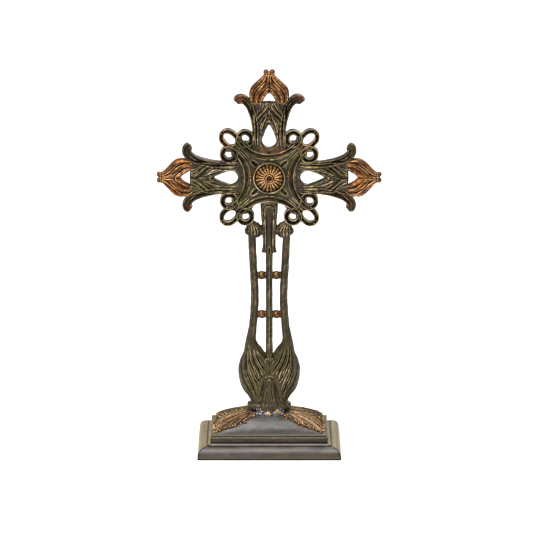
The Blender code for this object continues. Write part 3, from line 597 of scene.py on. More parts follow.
def bronze_paint():
    """Dark brown bronze paint with olive and rust patches, a dark wash in the hollows that is also painted
    shade on the steep sides, and rubbed tan ridges that also serve as painted highlights.
    """
    made = Nodes("dark_bronze_patina")
    broad = made.noise(55)
    patch = made.noise(38, 4, offset=(0.4, 0.1, 0.7))
    rusty = made.noise(46, offset=(0.9, 0.3, 0.2))
    middle, fine = made.noise(240, 4, 0.6), made.noise(900, 3, 0.6)
    made.base = made.mix(made.ease(broad, 0.35, 0.65), (44, 36, 23), (60, 49, 33))
    made.wash(made.ease(patch, 0.52, 0.66), 0.75, (66, 61, 32))
    made.wash(made.ease(rusty, 0.60, 0.70), 0.6, (92, 48, 22))
    made.wash(made.attribute("rust"), 1.0, (128, 60, 24))
    made.wash(made.attribute("olive"), 0.6, (90, 84, 44))
    made.mottle(middle, 0.35, 1.2)
    lifted = made.raised(middle, 0.45)
    # dark wash in the hollows, and painted shade on the steep sides that the relief marks lower
    hollow_and_side_shade = made.ease(lifted, 0.45, 0.18)
    # rubbed tan paint on the ridges, which also serves as a painted highlight
    rub_and_highlight = made.mix(made.ease(patch, 0.45, 0.62), (178, 155, 116), (154, 140, 92))
    made.wash(made.ease(lifted, 0.60, 0.88), made.scaled(made.ease(broad, 0.42, 0.58), 0.40, 0.55), rub_and_highlight)
    made.wash(hollow_and_side_shade, 0.94, (9, 7, 5))
    made.wash(made.ease(fine, 0.62, 0.74), 0.35, (22, 16, 10))
    return made.finish(middle, fine, (0.30, 0.22), (hollow_and_side_shade, 0.50, 0.45), (0.00035, 0.00018), 0.6, 0.35)


def copper_paint(name, deep, light, tint, bright, dark, glow):
    """Burnt copper paint, brighter on the ridges with a painted highlight, and nearly black in the grooves
    and in the painted shade of the steep sides.
    """
    made = Nodes(name)
    middle, fine = made.noise(320, 4, 0.6), made.noise(1100, 3, 0.6)
    made.base = made.mix(made.ease(made.noise(80), 0.38, 0.62), deep, light)
    made.wash(made.ease(made.noise(60, offset=(0.3, 0.6, 0.1)), 0.56, 0.70), 0.6, tint)
    made.wash(made.ease(made.noise(52, 4, offset=(0.7, 0.2, 0.5)), 0.50, 0.64), 0.55, dark)
    made.wash(made.ease(made.noise(74, offset=(0.1, 0.8, 0.4)), 0.54, 0.68), 0.65, glow)
    made.wash(made.attribute("tone"), 0.6, glow)
    made.wash(made.attribute("olive"), 1.0, tint)
    made.mottle(middle, 0.50, 1.0)
    lifted = made.raised(middle, 0.40)
    # dark in the grooves, and painted shade on the steep sides that the relief marks lower
    hollow_and_side_shade = made.ease(lifted, 0.44, 0.16)
    # bright wash on the ridges: rubbed paint that is also a painted highlight
    made.wash(made.ease(lifted, 0.60, 0.88), 0.85, bright)
    made.wash(hollow_and_side_shade, 0.95, dark)
    made.wash(made.ease(fine, 0.62, 0.76), 0.35, (66, 28, 8))
    return made.finish(middle, fine, (0.26, 0.20), (hollow_and_side_shade, 0.45, 0.45), (0.0003, 0.00015), 0.5, 0.4)


def plinth_paint():
    """Grey-lilac and brown washes dragged along the mouldings, olive-tan at the ends."""
    made = Nodes("aged_plinth_paint")
    metres = made.add("ShaderNodeSeparateXYZ", Vector=made.place).outputs["Z"]
    height = made.math("DIVIDE", metres, MM)
    streak = made.noise(60, 4, 0.6, stretch=(0.35, 0.35, 2.2))
    drag = made.noise(210, 3, 0.6, stretch=(0.22, 0.22, 2.4))
    hatch = made.noise(260, 3, 0.6, stretch=(2.2, 0.5, 0.5))
    patch = made.noise(36, offset=(0.2, 0.5, 0.4))
    cool = made.noise(90, 4, offset=(0.6, 0.2, 0.9))
    middle, fine = made.noise(300, 4, 0.6), made.noise(1000, 3, 0.6)

    def band(start, full, fading, end, amount, paint):
        """Wash between two heights, full between the inner two."""
        mask = made.math("MULTIPLY", made.ease(height, start, full), made.ease(height, end, fading))
        made.wash(mask, amount, paint)

    lower = made.mix(made.ease(streak, 0.36, 0.64), (44, 34, 22), (62, 49, 36))
    upper = made.mix(made.ease(streak, 0.34, 0.62), (52, 45, 38), (80, 73, 67))
    made.base = made.mix(made.ease(height, 9.2, 12.2), lower, upper)
    made.wash(made.ease(patch, 0.50, 0.66), 0.5, (68, 58, 64))
    made.wash(made.ease(height, 5.6, 3.6), 0.85, (60, 52, 26))
    # ledge, riser and bead under the dome
    band(16.1, 16.5, 17.6, 18.2, 0.85, (116, 106, 96))
    band(17.6, 18.4, 25.2, 25.7, 0.9, made.mix(made.ease(streak, 0.40, 0.62), (50, 42, 32), (72, 62, 50)))
    band(25.3, 25.8, 26.7, 27.2, 0.7, (126, 112, 86))
    # the dome's field has a colour of its own
    below = made.base
    made.base = made.mix(made.ease(patch, 0.42, 0.60), (54, 51, 47), (66, 54, 53))
    made.wash(made.ease(streak, 0.45, 0.70), 1.0, (76, 74, 72))
    made.wash(made.ease(cool, 0.54, 0.66), 0.5, (60, 74, 62))
    made.mottle(hatch, 0.45, 1.1)
    field, made.base = made.base, below
    made.wash(made.ease(height, 28.4, 29.6), 0.9, field)
    band(28.4, 28.8, 29.6, 30.4, 0.6, (112, 100, 80))
    made.wash(made.attribute("ends"), 0.85, (118, 105, 74))
    made.mottle(drag, 0.40, 1.2)
    made.mottle(middle, 0.45, 1.1)
    lifted = made.raised(middle, 0.30)
    # lighter paint on the raised edges, partly a painted highlight where they face the front or the top
    made.wash(made.ease(lifted, 0.66, 0.95), 0.55, (150, 138, 112))
    made.wash(made.attribute("joint"), 0.92, (10, 8, 6))
    made.wash(made.ease(lifted, 0.42, 0.12), 0.9, (26, 20, 16))
    made.wash(made.ease(fine, 0.60, 0.74), 0.35, (44, 37, 30))
    joint = made.attribute("joint")
    return made.finish(middle, fine, (0.38, 0.24), (joint, 0.10, 0.85), (0.0004, 0.0002), 0.5)


# Arms

TEAR_HALF_WIDTH = 9.2
TEAR_ROUND = 51.5
TEAR_TIP = 73.0
TEAR_BOW = 0.7


def tear_outline(grow, count=40):
    """Teardrop hole, grown outwards by so many millimetres, as (along, across)."""
    spread_length = TEAR_TIP - TEAR_ROUND
    lean = math.acos(TEAR_HALF_WIDTH / spread_length)
    radius = TEAR_HALF_WIDTH + grow
    angles = np.linspace(lean, 2 * np.pi - lean, count)
    round_part = np.stack([TEAR_ROUND + radius * np.cos(angles), radius * np.sin(angles)], 1)
    tip = np.array([[TEAR_ROUND + radius / math.cos(lean), 0.0]])
    steps = np.array([0.25, 0.5, 0.75, 0.92])[:, None]
    bow = 4 * TEAR_BOW * steps * (1 - steps) * np.array([math.cos(lean), math.sin(lean)])
    flank = round_part[0] + (tip[0] - round_part[0]) * steps + bow
    return np.vstack([round_part, flank * (1, -1), flank[::-1]])


def tear_half_width(along):
    """Half width of the teardrop at a reach, negative past its ends."""
    outline = tear_outline(0.0, 60)
    upper = outline[outline[:, 1] >= -1e-6]
    order = np.argsort(upper[:, 0])
    inside = (along > TEAR_ROUND - TEAR_HALF_WIDTH) & (along < TEAR_TIP)
    return np.where(inside, np.interp(along, upper[order, 0], upper[order, 1]), -9.0)


def edge_samples(rows, knots_inner, knots_outer, depth_knots):
    """Samples for a slab from edge knots of (along, across)."""
    along = np.asarray(rows, float)
    outer = np.interp(along, *zip(*smooth(knots_outer, 60)))
    inner = knots_inner(along) if callable(knots_inner) else np.interp(along, *zip(*smooth(knots_inner, 60)))
    depth = np.interp(along, *zip(*depth_knots))
    return np.stack([along, inner, outer, depth], 1)


def crest(along, across):
    """Wavy upper edge of an arm's body, with a bump in the middle."""
    side = np.abs(across)
    lift = 1.6 * np.exp(-((side / 2.6) ** 2)) + 0.9 * np.cos(side * 0.55) - 0.4
    return lift * smoothstep(along, 96.0, 104.0)


CURL = [
    (41.2, 18.4, 3.2, 6.6), (57, 18.9, 3.9, 7), (72.3, 18.9, 4.6, 7.6), (91.5, 23.2, 5, 8.2),
    (102.6, 28.2, 5.4, 8.2), (108.6, 35, 6.1, 8.2), (108.2, 40.6, 6.5, 7.8), (105.8, 43, 5.9, 6.8),
]
TONGUE_OUTER = [
    (34, 14.5), (41, 15.4), (50, 15.8), (60, 16.4), (68, 17.2), (74, 17.2), (79, 14), (84, 8.6),
    (88, 4.6), (93.7, 0.2),
]
BODY_OUTER = [
    (33, 18), (40, 24.6), (49, 22.9), (60, 22.2), (70, 22), (80, 22.6), (89, 23.6), (98, 25), (105.5, 26.2),
]
BUD_OUTER = [
    (98, 15), (103, 22), (106, 25), (112, 26.7), (117, 26.9), (121, 26.2), (125, 24.2), (130, 19.6),
    (134, 15), (138, 10.6), (142, 7.4), (146, 5.4),
]
BUD_INNER = [
    (98, 10.5), (104.5, 9.3), (108, 7.2), (112, 4.9), (115, 2.5), (117.5, -0.4), (122, -0.7), (146, -0.7),
]


def side_place(place, side):
    """The same frame, mirrored across its middle when side is -1."""
    return lambda along, across, depth: place(along, side * np.asarray(across), depth)


def beside_tear(along):
    """Inner edge of the bands that run past the teardrop and meet beyond it."""
    return np.maximum(tear_half_width(along) + 2.0, -0.6)


def arm_clay(place):
    clay = Clay()
    ring = tear_outline(3.3)
    rim = np.column_stack([ring, np.full(len(ring), 3.3), np.full(len(ring), 7.9)])
    clay.stroke(rim, place, ROUND, closed=True)
    body_depths = [(33, 5.2), (90, 5.4), (99, 5.9), (103.6, 6.6)]
    body = edge_samples(np.linspace(33, 103.6, 34), beside_tear, BODY_OUTER, body_depths)
    tongue_depths = [(34, 6.8), (80, 7.3), (93.2, 6.6)]
    tongue = edge_samples(np.linspace(34, 93.2, 34), beside_tear, TONGUE_OUTER, tongue_depths)
    for side in (1, -1):
        there = side_place(place, side)
        clay.slab(body, there, BOXY, crest)
        clay.slab(tongue, there, BOXY)
        clay.stroke(smooth(CURL, 44), there, RIMMED, caps=(0.0, 0.5))
    return clay


def arm_carving(place):
    lines = Carving(place)
    # bright edge and centre of the two lobes over the teardrop
    lines.line([(46, 15), (60, 15.9), (73.4, 16.6), (79.6, 12.4), (87.5, 5.1), (92.8, 0.6)], 1.5, 1)
    lines.line([(46, 12.4), (60, 12.6), (72, 13), (78.5, 10.2), (84.5, 5.2)], 1.3, -1.3)
    lines.straight((73.5, 84, 92, 102.5), 1.2, 0.9)
    lines.line([(76, 2.4), (81, 3.2), (85, 2.6), (89, 1.5)], 1.1, -1.1)
    lines.line([(63, 11.2), (74, 8.6), (79.6, 6.4), (84.2, 4), (85.6, 1.8)], 1.1, 0.8)
    # leaf pair behind them, reaching the crest, and the dark notch between the pair
    lines.line([(76, 19), (84, 14.6), (91, 8.4), (97, 3.6), (103, 1.6)], 1.3, 0.9)
    lines.line([(78, 20.8), (86, 16.6), (94, 10), (99, 6.6), (104, 5.2)], 1.4, -1.3)
    lines.line([(91, 16.8), (97, 13.2), (104, 11.4)], 1.5, 0.6)
    lines.straight((93.6, 98, 104), 2.6, -1.5, ends=(0.1, 1))
    lines.straight((96, 100, 104), 0.9, 1.3)
    # long veins beside the teardrop
    lines.line([(42, 17.6), (58, 17.2), (72, 17.6), (84, 18.6), (94, 19.4)], 1.3, -1.5)
    lines.line([(50, 20), (64, 19.6), (80, 20.2), (95, 21), (103, 21.6)], 1.2, 0.9)
    lines.line([(44, 13.6), (52, 14.2), (62, 14.8)], 0.9, -0.6)
    # long ridge and furrow of the curled leaf, and its short ribs
    lines.line([(66, 20.6), (80, 21.4), (88, 22.6), (98, 24.8), (105, 30.5)], 1.2, 0.9)
    lines.line([(70, 22.6), (84, 22.8), (94, 23.4), (103, 24.4)], 1.2, -1.5)
    lines.line([(98, 27.4), (104.6, 32.6), (108.6, 39)], 1.2, -0.9)
    return lines


def bud_clay(clay, place):
    depths = [(99, 6), (106, 7.6), (116, 8.6), (128, 8.6), (136, 7.4), (142, 5.4), (145.6, 3.8)]
    petal = edge_samples(np.linspace(99, 145.6, 40), BUD_INNER, BUD_OUTER, depths)
    for side in (1, -1):
        clay.slab(petal, side_place(place, side), PETAL)
        clay.ball(place(145.1, side * 4.06, 0.0), (3.9, 4.3, 3.9))


def bud_carving(lines, place):
    lines.place = place
    # bright hem, then dark and bright arches round the three-cornered opening
    hem = [(107, 23.8), (113, 24.6), (120, 23.4), (127, 17.8), (133, 11.8), (139, 7.4), (143, 4.6)]
    lines.line(hem, 1.5, 1.4)
    lines.line([(105.5, 20.8), (114, 20.2), (121, 17), (128, 10.8), (134, 5.2), (139.5, 2.4)], 1.5, -1.4)
    lines.line([(105, 17.4), (113, 15.6), (120, 10.6), (126, 4.8), (128.6, 0.6)], 1.6, 0.6)
    lines.line([(105, 15), (112, 13), (119, 8.2), (124, 3.2), (125.4, 0.4)], 1.2, -1.1)
    lines.line([(105, 12.4), (111, 9.8), (117, 5.2), (121.4, 1.6)], 1.3, 0.6)
    lines.straight((128, 134, 143), 1.2, -1.7)
    lines.straight((118.5, 122, 126), 0.9, -0.8)
    lines.line([(141.2, 8.2), (142.2, 3.6), (142.2, 0)], 0.9, -1)


# Head


def cup_line():
    """Centre of the arc of a cupped scroll, its radius and its half angle."""
    inner = CUP_REACH + VOLUTE_RADIUS
    centre = (EYE_REACH**2 + EYE_OFFSET**2 - inner**2) / (2 * (EYE_REACH - inner))
    return centre, centre - CUP_REACH, math.atan2(EYE_OFFSET, centre - EYE_REACH)


def scroll_samples():
    """One cupped scroll from the tail of one volute to the tail of the other."""
    centre, radius, swing = cup_line()
    thin_half = 3.3
    samples = [
        (centre - radius * math.cos(swing * a), radius * math.sin(swing * a),
         CUP_HALF_WIDTH + (thin_half - CUP_HALF_WIDTH) * a * a, CUP_HALF_DEPTH - 0.5 * a * a)
        for a in np.linspace(-1, 1, 40)
    ]
    curl = []
    steps, turns = 44, 1.17
    for share in np.arange(1, steps + 1) / steps:
        angle = swing + share * 2 * math.pi * turns
        grown = 0.7 * smoothstep(share, 0.0, 0.3)
        reach = VOLUTE_RADIUS + grown - 3.2 * smoothstep(share, 0.60, 1.0)
        half = thin_half + grown - 1.9 * smoothstep(share, 0.76, 1.0)
        along, across = EYE_REACH - reach * math.cos(angle), EYE_OFFSET + reach * math.sin(angle)
        curl.append((along, across, half, 6.7 - 0.5 * share))
    start = np.array(curl[::-1]) * (1, -1, 1, 1)
    return np.vstack([start, samples, curl])


LOOP = [
    (62.6, 1.8, 3.6, 5.9), (66.7, 7.2, 3.7, 5.9), (74, 9, 3.5, 5.9), (81.8, 8.1, 3.7, 5.9),
    (86.3, 4.7, 3.5, 5.9), (88.2, 0.9, 2.8, 5.6), (86.8, -1.6, 2.2, 5.2),
]
QUARTER_TURNS = (0, 90, 180, 270)


def circle(radius, count, half_width, half_depth):
    """Closed samples of a round stroke."""
    turn = np.linspace(0, 2 * np.pi, count, endpoint=False)
    around = [radius * np.cos(turn), radius * np.sin(turn)]
    return np.column_stack(around + [np.full(count, half_width), np.full(count, half_depth)])


def centre_clay():
    clay = Clay()
    centre, radius, swing = cup_line()
    angles = swing * np.linspace(-1, 1, 24)
    outline = np.vstack([
        head_frame(degrees)(centre - radius * np.cos(angles), radius * np.sin(angles), 0.0)
        for degrees in QUARTER_TURNS
    ])
    middle = outline.mean(0)
    plate = (middle + (outline - middle) * 0.97) * (1, 0, 1)
    clay.add([plate - (0, PLATE_HALF_DEPTH, 0), plate + (0, PLATE_HALF_DEPTH, 0)])
    scroll = scroll_samples()
    fillet = smooth([(38, 22, 2.6, 5), (45.5, 28.6, 3, 4.8), (50, 33.6, 2.6, 4.6)], 8)
    neck = smooth([(56, 0, 5, 5.2), (62, 0, 4.4, 5.2), (65, 0, 2.4, 4.6)], 8)
    for degrees in QUARTER_TURNS:
        place = head_frame(degrees)
        clay.stroke(scroll, place, RIMMED, caps=(0.8, 0.8))
        for side in (1, -1):
            clay.stroke(fillet, side_place(place, side), ROUND)
        diagonal = head_frame(degrees + 45)
        for side in (1, -1):
            clay.stroke(smooth(LOOP, 36), side_place(diagonal, side), RIMMED, caps=(0.0, 0.8))
        clay.stroke(neck, diagonal, ROUND, caps=(0, 0.6))
    clay.stroke(circle(20.9, 72, 2.0, 7.9), head_frame(0), ROUND, closed=True)
    return clay


def centre_carving():
    lines = Carving()
    centre, radius, swing = cup_line()
    for degrees in QUARTER_TURNS:
        diagonal = head_frame(degrees + 45)
        # small sunk triangles between the flower's rim and the backs of the scrolls
        lines.place = diagonal
        lines.straight((25.5, 29.5, 33.5), 3.2, -1.6, ends=(1, 0.4))
        lines.line([(24.6, 4.6), (29, 3.4), (36, 0.6)], 1, 0.5)
        lines.straight((40, 48, 58), 1.4, -1.3)
        # the rim on the flower's side of each scroll lies lower
        lines.place = head_frame(degrees)
        reach = radius + 3.6
        turns = [swing * share for share in (0.0, 0.3, 0.6, 0.85)]
        hem = [(centre - reach * math.cos(turn), reach * math.sin(turn)) for turn in turns]
        lines.line(hem, 1.8, -0.8, ends=(1, 0.3))
        # notch at the outer tip of the loop
        lines.place = diagonal
        lines.straight((86, 90, 93), 1.2, -1.6)
    return lines


PETALS = 20
FLOWER_RADIUS = 18.9
FLOWER_HALF_DEPTH = 9.4
# Shares of the radius and of the half depth, from the rim to the eye
FLOWER_PROFILE = (
    (1, 0), (1, 0.55), (0.97, 0.8), (0.9, 0.93), (0.78, 0.96), (0.6, 0.92), (0.42, 0.9), (0.3, 0.92),
    (0.24, 0.78), (0.18, 0.72), (0.1, 0.66), (0.02, 0.64),
)


def flower_clay(clay):
    """Round flower: each petal is a spoon with a raised edge, parted from the next, round a dimpled eye."""
    turns = np.linspace(0, 2 * np.pi, PETALS * 16, endpoint=False)
    wave = np.abs(np.sin(turns * PETALS / 2))
    behind = [(-1, spot) for spot in FLOWER_PROFILE[:0:-1]]
    loops = []
    for face, (reach, rise) in behind + [(1, spot) for spot in FLOWER_PROFILE]:
        notch = 1 - 0.10 * (1 - wave**0.5) * smoothstep(reach, 0.28, 0.95)
        spoon = 1 - (0.26 * smoothstep(reach, 0.26, 0.80)) * (1 - wave**0.7)
        out = FLOWER_RADIUS * reach * notch
        depth = -face * FLOWER_HALF_DEPTH * rise * spoon
        loops.append(np.stack([out * np.sin(turns), depth, HEAD_Z + out * np.cos(turns)], -1))
    clay.add(loops)
    eye = circle(4.3, 24, 1.3, 1.6)
    for face in (-1, 1):
        clay.stroke(eye, lambda u, v, d: head_frame(0)(u, v, d + face * 7.6), ROUND, closed=True)


def flower_carving(lines):
    """Dark gaps and bright ribs of the petals, and the groove round the eye."""
    for k in range(PETALS):
        lines.place = head_frame(360 * (k + 0.5) / PETALS)
        lines.straight((8, 13, 18.6), 0.8, 0.1)
        lines.place = head_frame(360 * k / PETALS)
        lines.straight((7, 13, 19.4), 1.1, -1.4, ends=(0.2, 1))
    lines.place = head_frame(0)
    ring = [(5.9 * math.cos(angle), 5.9 * math.sin(angle)) for angle in np.linspace(0, 2 * np.pi, 13)]
    lines.line(ring, 1, -1.3, mirror=False, ends=(1, 1), count=48)


# Stem


def stem_clay():
    clay = Clay()
    down = head_frame(180)
    tassel = smooth([
        (31, 0, 9.6, 5.6), (36, 0, 11.9, 8), (42, 0, 12, 8.4), (52, 0, 11.4, 7.7), (64, 0, 10.4, 7.3),
        (78, 0, 9.5, 7.2), (92, 0, 9, 7.2), (100, 0, 9.4, 7.3), (105, 0, 10.7, 7.5),
    ], 44)
    clay.stroke(tassel, down, BOXY)
    spine = smooth([(37, 0, 3.4, 8.8), (54, 0, 5, 9.9), (82, 0, 3.6, 8.9), (103.6, 0, 4.2, 8.4)], 24)
    clay.stroke(spine, down, ROUND, caps=(0.6, 0))
    rod_top = HEAD_Z - 97
    middle = smooth([(CALYX_TOP - 26, 0, 5.2, 5.2), (210, 0, 4.8, 5), (rod_top, 0, 5.1, 5.1)], 40)
    clay.stroke(middle, standing_frame(), BOXY)
    for side in (1, -1):
        there = standing_frame(side)
        rod = smooth([
            (136, 25.6, 7.2, 6.6), (159.6, 23.7, 6, 5.8), (192.8, 20.7, 5.7, 5.7), (221, 19.7, 5.7, 5.7),
            (260, 21.7, 5.5, 5.7), (306, 23.8, 5.4, 5.7),
        ], 60)
        clay.stroke(rod, there, ROUND)
        capital = smooth([
            (301.2, 22.2, 7, 6.8), (304.4, 21.7, 11.2, 8.2), (309.6, 21.6, 12.3, 8.4), (315, 22.2, 11, 7.6),
            (319, 23.6, 8, 5.9), (321.6, 24.4, 5.6, 4.6),
        ], 24)
        clay.stroke(capital, there, ROUND, caps=(0.1, 0.3))
        web = smooth([(308.6, 3, 6.4, 5.2), (311, 12, 6.6, 5), (311.4, 21, 7, 5)], 10)
        clay.stroke(web, there, ROUND)
    return clay


def stem_carving():
    lines = Carving(head_frame(180))
    # hood of the tassel
    lines.line([(48, 10.6), (43, 10.6), (38.5, 9.6), (35.2, 6), (34.4, 0)], 1.7, 0.9, ends=(0.1, 1))
    lines.line([(60, 7.6), (46, 7.4), (40.5, 6.4), (38, 3.6), (37.6, 0)], 1.3, -1.1, ends=(0.3, 1))
    # flutes
    lines.line([(48, 4.4), (66, 4.2), (88, 3.4), (104, 3.8)], 1.1, -1.1)
    lines.line([(60, 7), (80, 6.4), (104, 7.2)], 1, -1.1)
    lines.line([(44, 1.4), (66, 1.6), (90, 1)], 0.9, 0.2)
    lines.line([(74, 8.2), (90, 8), (104.6, 9.6)], 0.9, 0.3)
    # split hem
    lines.straight((96, 101, 105.5), 1.8, -2.4, ends=(0.2, 1))
    for side in (1, -1):
        lines.place = standing_frame(side)
        for lean in (-0.72, -0.36, 0, 0.36, 0.72):
            flute = [(320.4, 24.2 + 4.6 * lean), (313.6, 22 + 10.6 * lean), (307, 21.7 + 12 * lean)]
            lines.line(flute + [(301.4, 22 + 9.4 * lean)], 1.3, -1.2, mirror=False)
        lines.line([(309.6, 33.4), (311.4, 22), (310.6, 10)], 1, 0.5, mirror=False)
        # lengthwise seam and ridge of the rod
        seam = [(150, 25.8), (192.8, 22.6), (221, 21.6), (260, 23.6), (300, 25.8)]
        lines.line(seam, 1.1, -0.7, mirror=False, count=30)
        ridge = [(150, 23), (192.8, 19.6), (221, 18.6), (260, 20.6), (300, 22.6)]
        lines.line(ridge, 1.2, 0.5, mirror=False, count=30)
    lines.place = standing_frame()
    lines.line([(126, 1.6), (200, 1.4), (280, 1.5)], 1.1, -0.7, count=24)
    return lines


# Foot

# Half sizes of the ring that the roll follows, its height over the foot and the roll's own radius
ROLL_X = 25.2
ROLL_Y = 12.4
ROLL_RISE = 5.6
ROLL_RADIUS = 5.3
ROLL_BEADS = 44


def foot_clay():
    clay = Clay()
    for side in (1, -1):
        there = standing_frame(side, FOOT_Z)
        leaf = smooth([
            (1, 14.6, 9.6, 11), (9, 14.8, 10.2, 11.6), (17, 15.4, 11.8, 12), (26, 17, 15.2, 12.8),
            (35.4, 19.8, 18.6, 13.6), (44, 20.6, 21, 14), (52, 20.8, 22, 14), (62, 20.9, 22, 13.2),
            (69, 21, 20.4, 12.2), (77, 21.4, 17.8, 10.9), (85, 22.6, 13.8, 9.4), (93, 24.4, 10, 7.9),
            (101, 25, 7.4, 6.9), (110, 24.1, 6.3, 6), (120, 22.9, 5.2, 5.2),
        ], 66)
        clay.stroke(leaf, there, ROUND, caps=(0, 0.6))
    heart = smooth([
        (38, 0, 13, 11), (54, 0, 14.5, 10.8), (64, 0, 13, 9.8), (71, 0, 9, 8.6), (77, 0, 5, 7),
        (82.4, 0, 1.4, 5.4),
    ], 28)
    clay.stroke(heart, standing_frame(1, FOOT_Z), BOXY)
    trunk = smooth([
        (3.4, 0, 17.8, 18.4), (6, 0, 17.2, 19), (9.5, 0, 15.6, 17.8), (14, 0, 13.4, 15.6),
        (24, 0, 10.2, 14.6), (34, 0, 8.2, 14.4), (42, 0, 7, 13.2), (48, 0, 5.4, 11.4), (53, 0, 3.4, 10.2),
    ], 34)
    clay.stroke(trunk, standing_frame(1, FOOT_Z), BOXY)
    # roll round the seat, with beads at its ends
    turns = np.linspace(0, 2 * np.pi, 90, endpoint=False)
    centre = ellipse(turns, ROLL_X, ROLL_Y, FOOT_Z + ROLL_RISE)
    outward = ellipse(turns, ROLL_Y, ROLL_X)
    outward /= np.linalg.norm(outward, axis=1, keepdims=True)
    swing = ROUND[None, :, :1] * outward[:, None] + ROUND[None, :, 1:] * (0, 0, 1)
    clay.add(centre[:, None] + ROLL_RADIUS * swing, closed=True)
    for k in range(ROLL_BEADS):
        turn = 2 * math.pi * (k + 0.5) / ROLL_BEADS
        if abs(math.cos(turn)) < 0.60:
            continue
        out = ellipse(turn, ROLL_Y, ROLL_X)
        out /= np.linalg.norm(out)
        spot = ellipse(turn, ROLL_X, ROLL_Y, FOOT_Z + 5.9 + 2 * (-1) ** k)
        clay.ball(spot + out * 4.1, (1.7, 1.7, 1.7), 6, 10)
    # block inside the roll
    block_turns = np.linspace(0, 2 * np.pi, 48, endpoint=False)
    clay.add([ellipse(block_turns, 23.6, ROLL_Y, FOOT_Z + rise) for rise in (0, 12)])
    return clay


PUNCHED_VEINS = (
    [(135, 22.6), (122, 16.4), (112, 9.4)], [(130, 28.4), (118, 25.4), (106, 19.4)],
    [(112, 36.6), (98, 31.6), (86, 25.4)],
)


def foot_carving():
    lines = Carving(standing_frame())
    # borders of the two leaves: outer hem and the notch between them
    hem = [(146, 30.4), (131, 33.8), (118.6, 35), (105, 33.6), (93.3, 28.8), (84.4, 23.2), (72, 19.4)]
    lines.line(hem, 1.6, 1.5)
    lines.line([(140, 34.6), (126, 38), (112, 38.4), (98, 35.2), (86, 29), (76, 23.6)], 1.3, -1.3)
    lines.line([(152.5, 17.4), (145, 11.2), (139.3, 7), (130.4, 0.6)], 1.8, 1.5)
    lines.line([(147.6, 18.6), (139, 11.2), (131, 5.4), (125, 1.2)], 1.4, -1.3)
    # fan of veins
    lines.line([(140, 17.6), (133.4, 11.7), (128.9, 8.2), (121, 4.2)], 1.3, 1.4)
    lines.line([(143, 21.6), (128, 17.2), (117.1, 10.9), (107, 5.2)], 1.4, 1.6)
    lines.line([(139, 19.6), (124, 13.4), (112, 6.4)], 1.3, -1.5)
    lines.line([(146, 26.4), (130, 25.6), (120.1, 22.4), (110, 15.8), (97, 12.6)], 1.5, 1.6)
    lines.line([(142, 24), (126, 20.8), (114, 14.6), (102, 9.6)], 1.3, -1.6)
    lines.line([(150, 27.6), (133, 29.6), (118, 28.8), (104, 23.6), (92, 18.6), (80, 16.8)], 1.3, 1.1)
    lines.line([(140, 28), (124, 26.8), (110, 20.8), (98, 16.4)], 1.2, -1.4)
    lines.line([(130, 31.8), (116, 31.8), (102, 28.2), (90, 22.6), (76, 17.6)], 1.3, -1.4)
    lines.line([(120, 8.6), (112, 8), (105, 7)], 1, -1)
    lines.line([(102.3, 18.8), (98, 16.4), (94, 13.4)], 1.3, 1.4)
    lines.straight((130.4, 118, 105.2), 1, -1)
    lines.straight((129, 118, 106), 5, -1.2)
    # knot where the leaves meet, and the flutes of the trunk
    lines.line([(101.5, 6.6), (103.2, 3.2), (103.6, 0)], 1.3, 0.7, ends=(0.3, 1))
    lines.line([(98.2, 6.4), (99.4, 3.2), (99.8, 0)], 1.1, -1.2, ends=(0.3, 1))
    lines.line([(97, 7.6), (84, 9.6), (74, 12.4), (64, 15.8)], 1.4, -1)
    lines.line([(96, 4.6), (82, 6.2), (72, 8.4), (60, 10.8)], 1.2, 0.4)
    lines.line([(95, 2.6), (80, 3.6), (60, 6.6)], 1.1, -1.1)
    lines.line([(94, 0.6), (80, 1.2), (60, 2.6)], 1, 0.3)
    return lines


def dotted(piece, paths, spacing, width, rise):
    """Rows of small beads on the front along standing paths, such as the punched veins of the leaves."""
    mesh = piece.data
    points = points_of(mesh)
    front = np.nonzero(normals_of(mesh)[:, 1] < -0.1)[0]
    flat = points[front][:, [0, 2]]
    lift = np.zeros(len(front))
    for path in paths:
        curve = smooth(path, 60)
        for side in (1, -1):
            world = standing_frame(side)(curve[:, 0], curve[:, 1], 0.0)[:, [0, 2]]
            travelled = np.concatenate([[0], np.cumsum(np.linalg.norm(np.diff(world, axis=0), axis=1))])
            for stop in np.arange(0, travelled[-1], spacing):
                spot = [np.interp(stop, travelled, world[:, k]) for k in range(2)]
                away = np.linalg.norm(flat - spot, axis=1)
                lift = np.maximum(lift, rise * np.clip(1 - (away / width) ** 2, 0, 1))
    points[front, 1] -= lift
    move_to(mesh, points)


# Plinth

# Powers of the superellipses that the dome rises over
DOME_POWER_X = 1.8
DOME_POWER_Y = 2.2


def dome_point(a, b, lift=0.0):
    """Point over the dome from shares of its plan in -1 to 1, so far out along its normal."""
    a, b, lift = np.broadcast_arrays(np.asarray(a, float), b, lift)
    x = DOME_HALF_X * np.sin(0.5 * np.pi * np.clip(a, -0.999, 0.999))
    y = DOME_HALF_Y * np.sin(0.5 * np.pi * np.clip(b, -0.999, 0.999))

    def height(px, py):
        across = 1 - np.minimum(np.abs(px) / DOME_HALF_X, 0.99999) ** DOME_POWER_X
        deep = 1 - np.minimum(np.abs(py) / DOME_HALF_Y, 0.99999) ** DOME_POWER_Y
        return DOME_RISE * np.sqrt(across * deep)

    z = height(x, y)
    step = 0.05
    slope_x = (height(x + step, y) - height(x - step, y)) / (2 * step)
    slope_y = (height(x, y + step) - height(x, y - step)) / (2 * step)
    normal = np.stack([-slope_x, -slope_y, np.ones_like(z)], -1)
    normal /= np.linalg.norm(normal, axis=-1, keepdims=True)
    return np.stack([x, y, STEP_Z + z], -1) + normal * lift[..., None]


